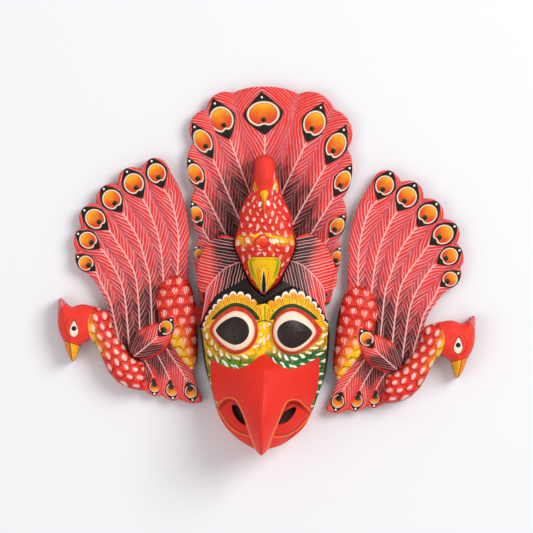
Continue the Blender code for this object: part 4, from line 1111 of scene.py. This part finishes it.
WING = [(175.0, 315.4), (160.5, 321.8), (143.0, 328.0), (132.4, 336.0), (127.8, 351.6), (140.5, 360.6),
        (155.2, 356.6), (166.6, 347.6), (173.4, 333.0)]
SIDE_EDGE = 12.0
SIDE_RIBS = 2.2
SIDE_FORMS = [(19.0, 13.0, 5.0), (15.0, 17.0, 4.0), (13.0, 12.0, 9.0)]
TAIL_ROOT = (158.0, 335.0)
TAIL_JOINTS = [(145.0, 391.0), (161.8, 396.0), (180.0, 400.4), (199.0, 395.0)]
TAIL_LINE = 345
# The right bird lies at FLIP - x, is then turned by TURN degrees about TURN_AT and moved by TURN_SHIFT
FLIP, TURN, TURN_AT, TURN_SHIFT = 530.0, 3.3, (340.0, 320.0), (3.0, 10.0)

# %% Side bird eyelets
SIDE_EYELETS = [((162.8, 188.0), (149.4, 156.4), 10.4), ((141.8, 198.2), (124.0, 167.2), 11.2),
                ((121.4, 212.4), (100.2, 185.0), 10.6), ((107.9, 230.0), (79.8, 207.0), 10.6),
                ((99.6, 248.6), (73.8, 231.4), 9.2), ((94.6, 271.4), (74.4, 254.6), 8.2)]
SIDE_SHAFTS = [[(168.9, 196.4), (174.3, 212.5), (177.9, 234.8), (177.9, 257.0), (176.5, 280.0)],
               [(147.5, 208.0), (152.9, 221.4), (157.3, 234.8), (160.9, 252.7), (163.0, 280.0), (164.0, 300.0)],
               [(130.5, 225.9), (136.8, 237.5), (140.4, 246.4), (144.8, 261.6), (149.3, 279.5), (151.0, 312.0)],
               [(115.4, 241.0), (122.5, 250.9), (129.6, 263.4), (134.5, 275.0), (137.4, 296.3), (139.5, 335.0)],
               [(106.4, 256.3), (111.8, 265.2), (117.0, 275.0), (121.6, 286.6), (124.7, 301.6), (128.0, 340.0)],
               [(98.4, 279.5), (102.9, 288.4), (109.0, 300.0), (113.2, 317.4), (118.0, 340.0)]]
SIDE_VALLEYS = [[(139.4, 168.6), (144.8, 176.8), (149.3, 188.4), (153.8, 200.0), (162.7, 217.0), (168.9, 234.8),
                 (170.7, 252.7), (170.5, 280.0), (168.0, 330.0)],
                [(116.4, 183.8), (122.5, 196.4), (129.5, 206.0), (135.9, 216.0), (144.8, 227.7), (150.2, 239.3),
                 (154.6, 250.0), (157.3, 261.6), (158.0, 280.0), (157.0, 330.0)],
                [(95.4, 203.0), (106.4, 210.7), (113.6, 219.6), (120.7, 230.4), (127.0, 240.0), (135.9, 255.4),
                 (140.4, 268.8), (144.0, 285.0), (146.0, 312.0), (145.0, 345.0)],
                [(80.6, 227.0), (93.9, 232.0), (100.2, 240.0), (107.3, 250.0), (113.6, 257.0), (120.7, 268.8),
                 (126.0, 279.5), (131.0, 297.0), (134.0, 318.0), (134.0, 345.0)],
                [(75.4, 251.0), (86.8, 252.7), (95.7, 260.7), (102.0, 270.5), (107.3, 279.5), (112.0, 288.0),
                 (117.0, 303.0), (121.0, 322.0), (124.0, 345.0)]]
SIDE_VALLEYS = [curve(valley, 2.0) for valley in SIDE_VALLEYS]
TAIL_EYELETS = [((153.0, 378.4), (153.8, 397.0), 5.8), ((169.0, 380.0), (172.8, 401.6), 6.3),
                ((186.6, 382.0), (192.8, 403.6), 6.8)]
TAIL_ROOTS = [(142.0, 357.0), (154.0, 350.0), (163.0, 344.0)]
TAIL_VALLEYS = [((161.8, 396.0), (147.0, 356.0)), ((180.0, 400.4), (161.0, 350.0))]
WING_EYELET = [((157.6, 336.6), (172.6, 317.6), 7.6)]
NECK_LINE = curve([(99.0, 312.0), (102.0, 328.0), (107.0, 344.0), (114.0, 358.0), (123.0, 371.0), (134.0, 380.0),
                   (148.0, 386.0)], 2.0)


# %% Side bird outlines
def side_loops(step):
    fan = lobes(SIDE_JOINTS, SIDE_BULGES, step, -1.0)
    runs = [[SIDE_JOINTS[-1]] + HEAD, [HEAD[-1]] + BEAK, [BEAK[-1]] + BREAST, [BREAST[-1]] + TAIL,
            [TAIL[-1]] + RUMP + [SIDE_JOINTS[0]]]
    head, bill, under, tail, rump = [curve(run, step) for run in runs]
    outline = np.vstack([part[:-1] for part in (fan, head, bill, under, tail, rump)])
    neck = np.vstack([head[:-1], bill[:-1], under, curve(NECK_BACK + [SIDE_JOINTS[-1]], step)[:-1]])
    return outline, neck, curve(RUMP + RUMP_BACK, step, closed=True), curve(WING, step, closed=True)


SIDE_LOOPS = side_loops(2.2)
print("a side bird's outline has", len(SIDE_LOOPS[0]), "points")


def side_height(p):
    fan = round_over(np.min([gap_to(valley, p, False) for valley in SIDE_VALLEYS], axis=0) / 6.5)
    down = 2 * TAIL_ROOT[1]
    tail = ribs(np.column_stack([p[:, 0], down - p[:, 1]]), TAIL_ROOT, [(x, down - y) for x, y in TAIL_JOINTS])
    z = SIDE_EDGE + SIDE_RIBS * np.where(p[:, 1] < TAIL_LINE, fan, tail)
    for loop, (rise, width, step) in zip(SIDE_LOOPS[1:], SIDE_FORMS):
        d = depth_in(loop, p)
        z = np.maximum(z, SIDE_EDGE + step * ease(d / 1.2) + (rise - step) * round_over(d / width) * (d > 0))
    return z


# %% [markdown]
# ## Painting the side birds
# One material serves both birds. A number for the zone, 0 for the fan, 1 for the neck, 2 for the rump and 3 for the
# wing, chooses between feathers and scales. The head, bill and eye are shapes in the left bird's drawing, and the
# right bird keeps the left one's notes, so its paint is turned over with it.

# %% Side bird paint
def side_paint():
    material, kit = start_paint("painted_side_wood")
    spot = attribute(kit, "spot")
    x, y, kind = spot.parts()
    s, t, seed = attribute(kit, "feather").parts()
    half, width, valley = attribute(kit, "eyelet").parts()
    zone, dark, rim = attribute(kit, "zones").parts()
    rows, columns, _ = attribute(kit, "shingles").parts()
    pitch = 3.1 - zone.over(0.12, 0.05) * 0.7
    colour, bump = feather_paint(kit, s, t, half, width, valley, dark, spot, seed, pitch, 0.4)
    wobble = noise(kit, spot, 5.0)
    u, v, seam, luck = scales(kit, rows + (wobble - 0.5) * 0.35, columns + (wobble - 0.5) * 0.3)
    rump = zone.over(1.5, 0.1)
    gold = (y - 322.0) / 26.0 + (186.0 - x) / 12.0 * y.over(326.0, 10.0)
    throat = (103.0 - x + (y - 330.0) * 0.42) / 9.0 * y.under(356.0, 5.0)
    gold = throat + (gold - throat) * rump + (luck - 0.5) * 0.3
    shell = kit.blend(gold.over(0.5, 0.35), kit.blend(luck * 0.4, RED, FLAME), paint_rgb(238, 108, 24))
    shell = kit.blend(gold.over(1.3, 0.45), shell, YELLOW)
    seam_tint = kit.blend(gold.over(0.6, 0.3), paint_rgb(112, 16, 12), paint_rgb(140, 70, 12))
    shell = kit.blend(seam * 0.85, shell, seam_tint)
    halo = (((u - 0.5) / 0.40) ** 2.0 + (v / 0.27) ** 2.0).under(1.0, 0.4) * (1 - rump)
    shell = kit.blend(halo * 0.22, shell, PINK)
    slanted = v + (u - 0.5) * (luck - 0.5) * 0.8
    dab = dab_of(kit, u, slanted, 0.26 + luck * 0.12, 0.12 + wobble * 0.12, luck, wobble)
    fan_out = v / (0.20 + u * 0.30)
    comb = (((u - 0.40) / 0.31) ** 2.0 + (fan_out / 0.78) ** 2.0).under(1.0, 0.2)
    comb = comb * strokes(kit, fan_out * 2.4 + luck, 0.24, wobble)
    mark = dab + (comb - dab) * rump
    shell = kit.blend(mark * 0.92, shell, kit.blend(luck.over(0.5, 0.3) * 0.6, WHITE, PINK))
    neck_line = x - 87.6 - ((y - 322.0) * 0.13) ** 2.0 * 0.62
    head = (neck_line - (y - 322.0).low(0.0) * -0.25).under(0.0, 0.4) * (1 - rump) * y.under(346.0, 0.3)
    shell = kit.blend(head, shell, HEAD_RED)
    crown_edge = (x - 61.0) + (y - 306.0) * 0.25 - (308.0 - y).high(0.0) * 0.9
    crown = crown_edge.under(0.0, 0.3) * y.under(316.0, 1.5) * head
    shell = kit.blend(crown * 0.85, shell, kit.blend(strokes(kit, (x - y * 0.2) / 2.0, 0.15, wobble), ROSE, PINK))
    shell = kit.blend(abs(crown_edge).under(0.4, 0.2) * y.under(316.0, 1.5) * head * 0.8, shell, SHADE_RED)
    bill_edge = (y - 340.2) - (x - 63.0) * 0.36
    bill = bill_edge.over(0.0, 0.25) * (1 - rump) * x.under(82.0, 0.5)
    split = x - 69.4 - (y - 344.0) * 0.13
    shell = kit.blend(bill, shell, kit.blend(split.over(0.0, 0.4), paint_rgb(240, 124, 34), paint_rgb(250, 178, 24)))
    ink = abs(split).under(0.40, 0.2) * bill + abs(bill_edge).under(0.35, 0.2) * x.under(80.5, 0.3) * (1 - rump)
    shell = kit.blend(ink.low(1.0) * 0.9, shell, BLACK)
    ex, ey = abs((x - 73.6) / 4.5), (y - 330.6) / 6.6
    above = ey.under(0.0, 0.15)
    tear = ex ** (2.0 - above * 0.6) + abs(ey * (1 - above * 0.36)) ** (2.0 - above * 0.8)
    shell = kit.blend(tear.under(1.12, 0.06), shell, paint_rgb(120, 20, 14))
    shell = kit.blend(tear.under(0.92, 0.08), shell, CREAM)
    iris = (((x - 73.7) / 2.5) ** 2.0 + ((y - 328.6) / 2.5) ** 2.0)
    shell = kit.blend(iris.under(1.0, 0.15), shell, BLACK)
    lash = abs((((x - 76.0) / 10.8) ** 2.0 + ((y - 328.0) / 12.6) ** 2.0).sqrt() - 1.0)
    lash = lash.under(0.04, 0.03) * x.under(70.5, 0.8) * abs(y - 328.0).under(10.5, 1.0)
    shell = kit.blend(lash * 0.7, shell, SHADE_RED)
    scaled = zone.over(0.5, 0.1) * zone.under(2.5, 0.1)
    colour = kit.blend(scaled, colour, shell)
    gap = valley.under(1.6, 1.2) * zone.over(0.12, 0.05) * zone.under(0.5, 0.05) * y.over(368.0, 8.0)
    colour = kit.blend(gap * 0.8, colour, RED)
    edge = rim.under(2.3, 0.4) * ((x - 150.0) + (y - 345.0) * 1.2).over(8.0, 3.0)
    hem = zone.over(2.5, 0.1) * (edge + rim.under(1.2, 0.4) * y.under(332.0, 2.0) * x.under(158.0, 3.0)).low(1.0)
    colour = kit.blend(hem * 0.9, colour, RED)
    bump = bump + (seam * -0.6 + dab * 0.3 - bump) * scaled
    return coat(kit, material, colour, 0.42, bump, kind, spot)


side_finish = side_paint()


# %% [markdown]
# ## Carving and noting a side bird
# The outline, the creases and the height come from the drawing above. After carving, the function notes for each
# triangle its zone and its feather. A function called twice keeps the two birds alike.

# %% Carve a side bird
def side_bird(name, mirrored, tab):
    outline = side_loops(RIM_STEP)[0]
    rough = [(loop, True) for loop in SIDE_LOOPS[1:]]
    valleys = SIDE_VALLEYS + [np.array(v) for v in TAIL_VALLEYS]
    lines = kept_inside(rough + [(valley, False) for valley in valleys], outline, 0.9)
    piece, flat, tris, kind = carve(name, outline, lines, BOARD_NET, side_height, outline, [], FLAT_BACK_NET, flat_back)
    corners = flat[tris]
    centres = corners.mean(axis=1)
    in_neck, in_rump, in_wing = [depth_in(loop, centres) > 0 for loop in SIDE_LOOPS[1:]]
    zone = np.where(in_wing, 3.0, np.where(in_rump, 2.0, np.where(in_neck, 1.0, 0.0)))
    tail = (centres[:, 1] > TAIL_LINE) & (centres[:, 0] > 138)
    fan_kind = sum((along(valley, centres)[1] < 0).astype(int) for valley in SIDE_VALLEYS)
    tail_kind = sum((side_of(a, b, centres) > 0).astype(int) for a, b in TAIL_VALLEYS)
    which = np.where(in_wing, 9, np.where(tail, 6 + tail_kind, fan_kind))
    zone = np.where(tail & (zone == 0), 0.25, zone)
    eyelets = SIDE_EYELETS + TAIL_EYELETS + WING_EYELET
    shafts = SIDE_SHAFTS + [[root] for root in TAIL_ROOTS] + [[(128.0, 361.0)]]
    s, t, half, width = feather_notes(corners, which, eyelets, shafts)
    valley = np.min([gap_to(line, flat, False) for line in valleys], axis=0)[tris]
    valley = np.where(in_wing[:, None], 9.0, valley)
    to_root = np.linalg.norm((flat - np.array([158.0, 354.0])) * [1.36, 1.0], axis=1)
    dark = (1.15 - (to_root - 16.0) / 92.0)[tris]
    to_tail = np.linalg.norm(flat - np.array([150.0, 356.0]), axis=1)[tris]
    dark = np.where(in_wing[:, None], 1 - (s + 40.0) / 40.0, dark)
    dark = np.where(tail[:, None], 1 - (to_tail - 8.0) / 30.0, dark)
    rim = gap_to(SIDE_LOOPS[3], flat)[tris]
    far, side = along(NECK_LINE, flat)
    cx, cy = corners[..., 0], corners[..., 1]
    rows = np.where(in_rump[:, None], (400.0 - cy - (cx - 165.0) * 0.14) / 10.3, far[tris] / 9.8)
    columns = np.where(in_rump[:, None], (cx - cy * 0.06) / 11.6, side[tris] / 9.2)
    note(piece, "spot", corners[..., 0], corners[..., 1], kind[:, None])
    note(piece, "feather", s, t, (which % 5)[:, None] / 5.0)
    note(piece, "eyelet", half + 0 * s, width, valley)
    note(piece, "zones", zone[:, None] + 0 * s, dark, rim)
    note(piece, "shingles", rows, columns, 0.0)
    if mirrored:
        turn = math.radians(TURN)
        c, w = math.cos(turn), math.sin(turn)
        spots = np.array([v.co for v in piece.data.vertices])
        px = FLIP - (spots[:, 0] / MM + VIEW_CENTRE) - TURN_AT[0]
        py = VIEW_MIDDLE - spots[:, 1] / MM - TURN_AT[1]
        turned = np.column_stack([px * c - py * w + TURN_AT[0] + TURN_SHIFT[0],
                                  px * w + py * c + TURN_AT[1] + TURN_SHIFT[1]])
        piece.data.vertices.foreach_set("co", place(turned, spots[:, 2] / MM).ravel())
        piece.data.flip_normals()
    piece.data.materials.append(side_finish)
    joint_box(piece, tab, 0.0, "UNION")
    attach(piece, "root")
    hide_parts(name)
    return piece


left_bird = side_bird("left_peacock", False, TAB_LEFT)
right_bird = side_bird("right_peacock", True, TAB_RIGHT)
print("side birds reach", [[round(v, 3) for v in bird.dimensions] for bird in (left_bird, right_bird)])

# %% [markdown]
# ## Stage, light and camera
# The mask lies on a pale floor. One large soft light comes from the upper right and a weaker one from the
# left, so the right half of the beak is brighter. The camera looks straight down from far away through a long
# lens, which keeps the drawing's proportions.

# %% Stage
def flat_paint(name, tint, rough):
    material, kit = start_paint(name)
    shader = kit.node("ShaderNodeBsdfPrincipled", None, {"Base Color": (*tint, 1.0), "Roughness": rough})
    kit.node("ShaderNodeOutputMaterial", None, {"Surface": shader})
    return material


floor_mesh = bpy.data.meshes.new("floor")
floor_mesh.from_pydata([(-6, -6, -0.0003), (6, -6, -0.0003), (6, 6, -0.0003), (-6, 6, -0.0003)], [], [(0, 1, 2, 3)])
floor = bpy.data.objects.new("floor", floor_mesh)
bpy.context.collection.objects.link(floor)
floor_mesh.materials.append(flat_paint("pale_floor", paint_rgb(238, 238, 240), 0.8))


# %% Lights
def soft_light(name, at, size, power):
    data = bpy.data.lights.new(name, "AREA")
    data.shape, data.size, data.energy = "DISK", size, power
    lamp = bpy.data.objects.new(name, data)
    lamp.location = at
    lamp.rotation_euler = (-Vector(at)).to_track_quat("-Z", "Y").to_euler()
    bpy.context.collection.objects.link(lamp)


soft_light("window", (2.3, 1.4, 2.9), 2.2, 102.0)
soft_light("fill", (-1.8, -0.6, 2.4), 2.2, 17.0)
world = bpy.data.worlds.new("room")
bpy.context.scene.world = world
world.use_nodes = True
world.node_tree.nodes["Background"].inputs["Color"].default_value = (0.98, 0.98, 1.0, 1.0)
world.node_tree.nodes["Background"].inputs["Strength"].default_value = 0.54
bpy.context.scene.view_settings.view_transform = "Standard"
print("two lamps and a pale room light the mask")

# %% [markdown]
# ## The camera
# A lens that is very long for its distance shows the relief almost without perspective. Its length follows from
# the width of the view, the width of the camera's sensor and the distance to the middle of the carving.

# %% Camera
CAMERA_HEIGHT = 5.0
FOCUS_HEIGHT = 0.04
VIEW_WIDTH = 0.533
SENSOR_WIDTH = 36.0
camera_data = bpy.data.cameras.new("camera")
camera = bpy.data.objects.new("camera", camera_data)
bpy.context.collection.objects.link(camera)
camera.location = (0.0, (VIEW_MIDDLE - 266.5) * MM, CAMERA_HEIGHT)
camera_data.sensor_width = SENSOR_WIDTH
camera_data.lens = SENSOR_WIDTH * (CAMERA_HEIGHT - FOCUS_HEIGHT) / VIEW_WIDTH
bpy.context.scene.camera = camera
print("the lens is", round(camera_data.lens), "mm long")
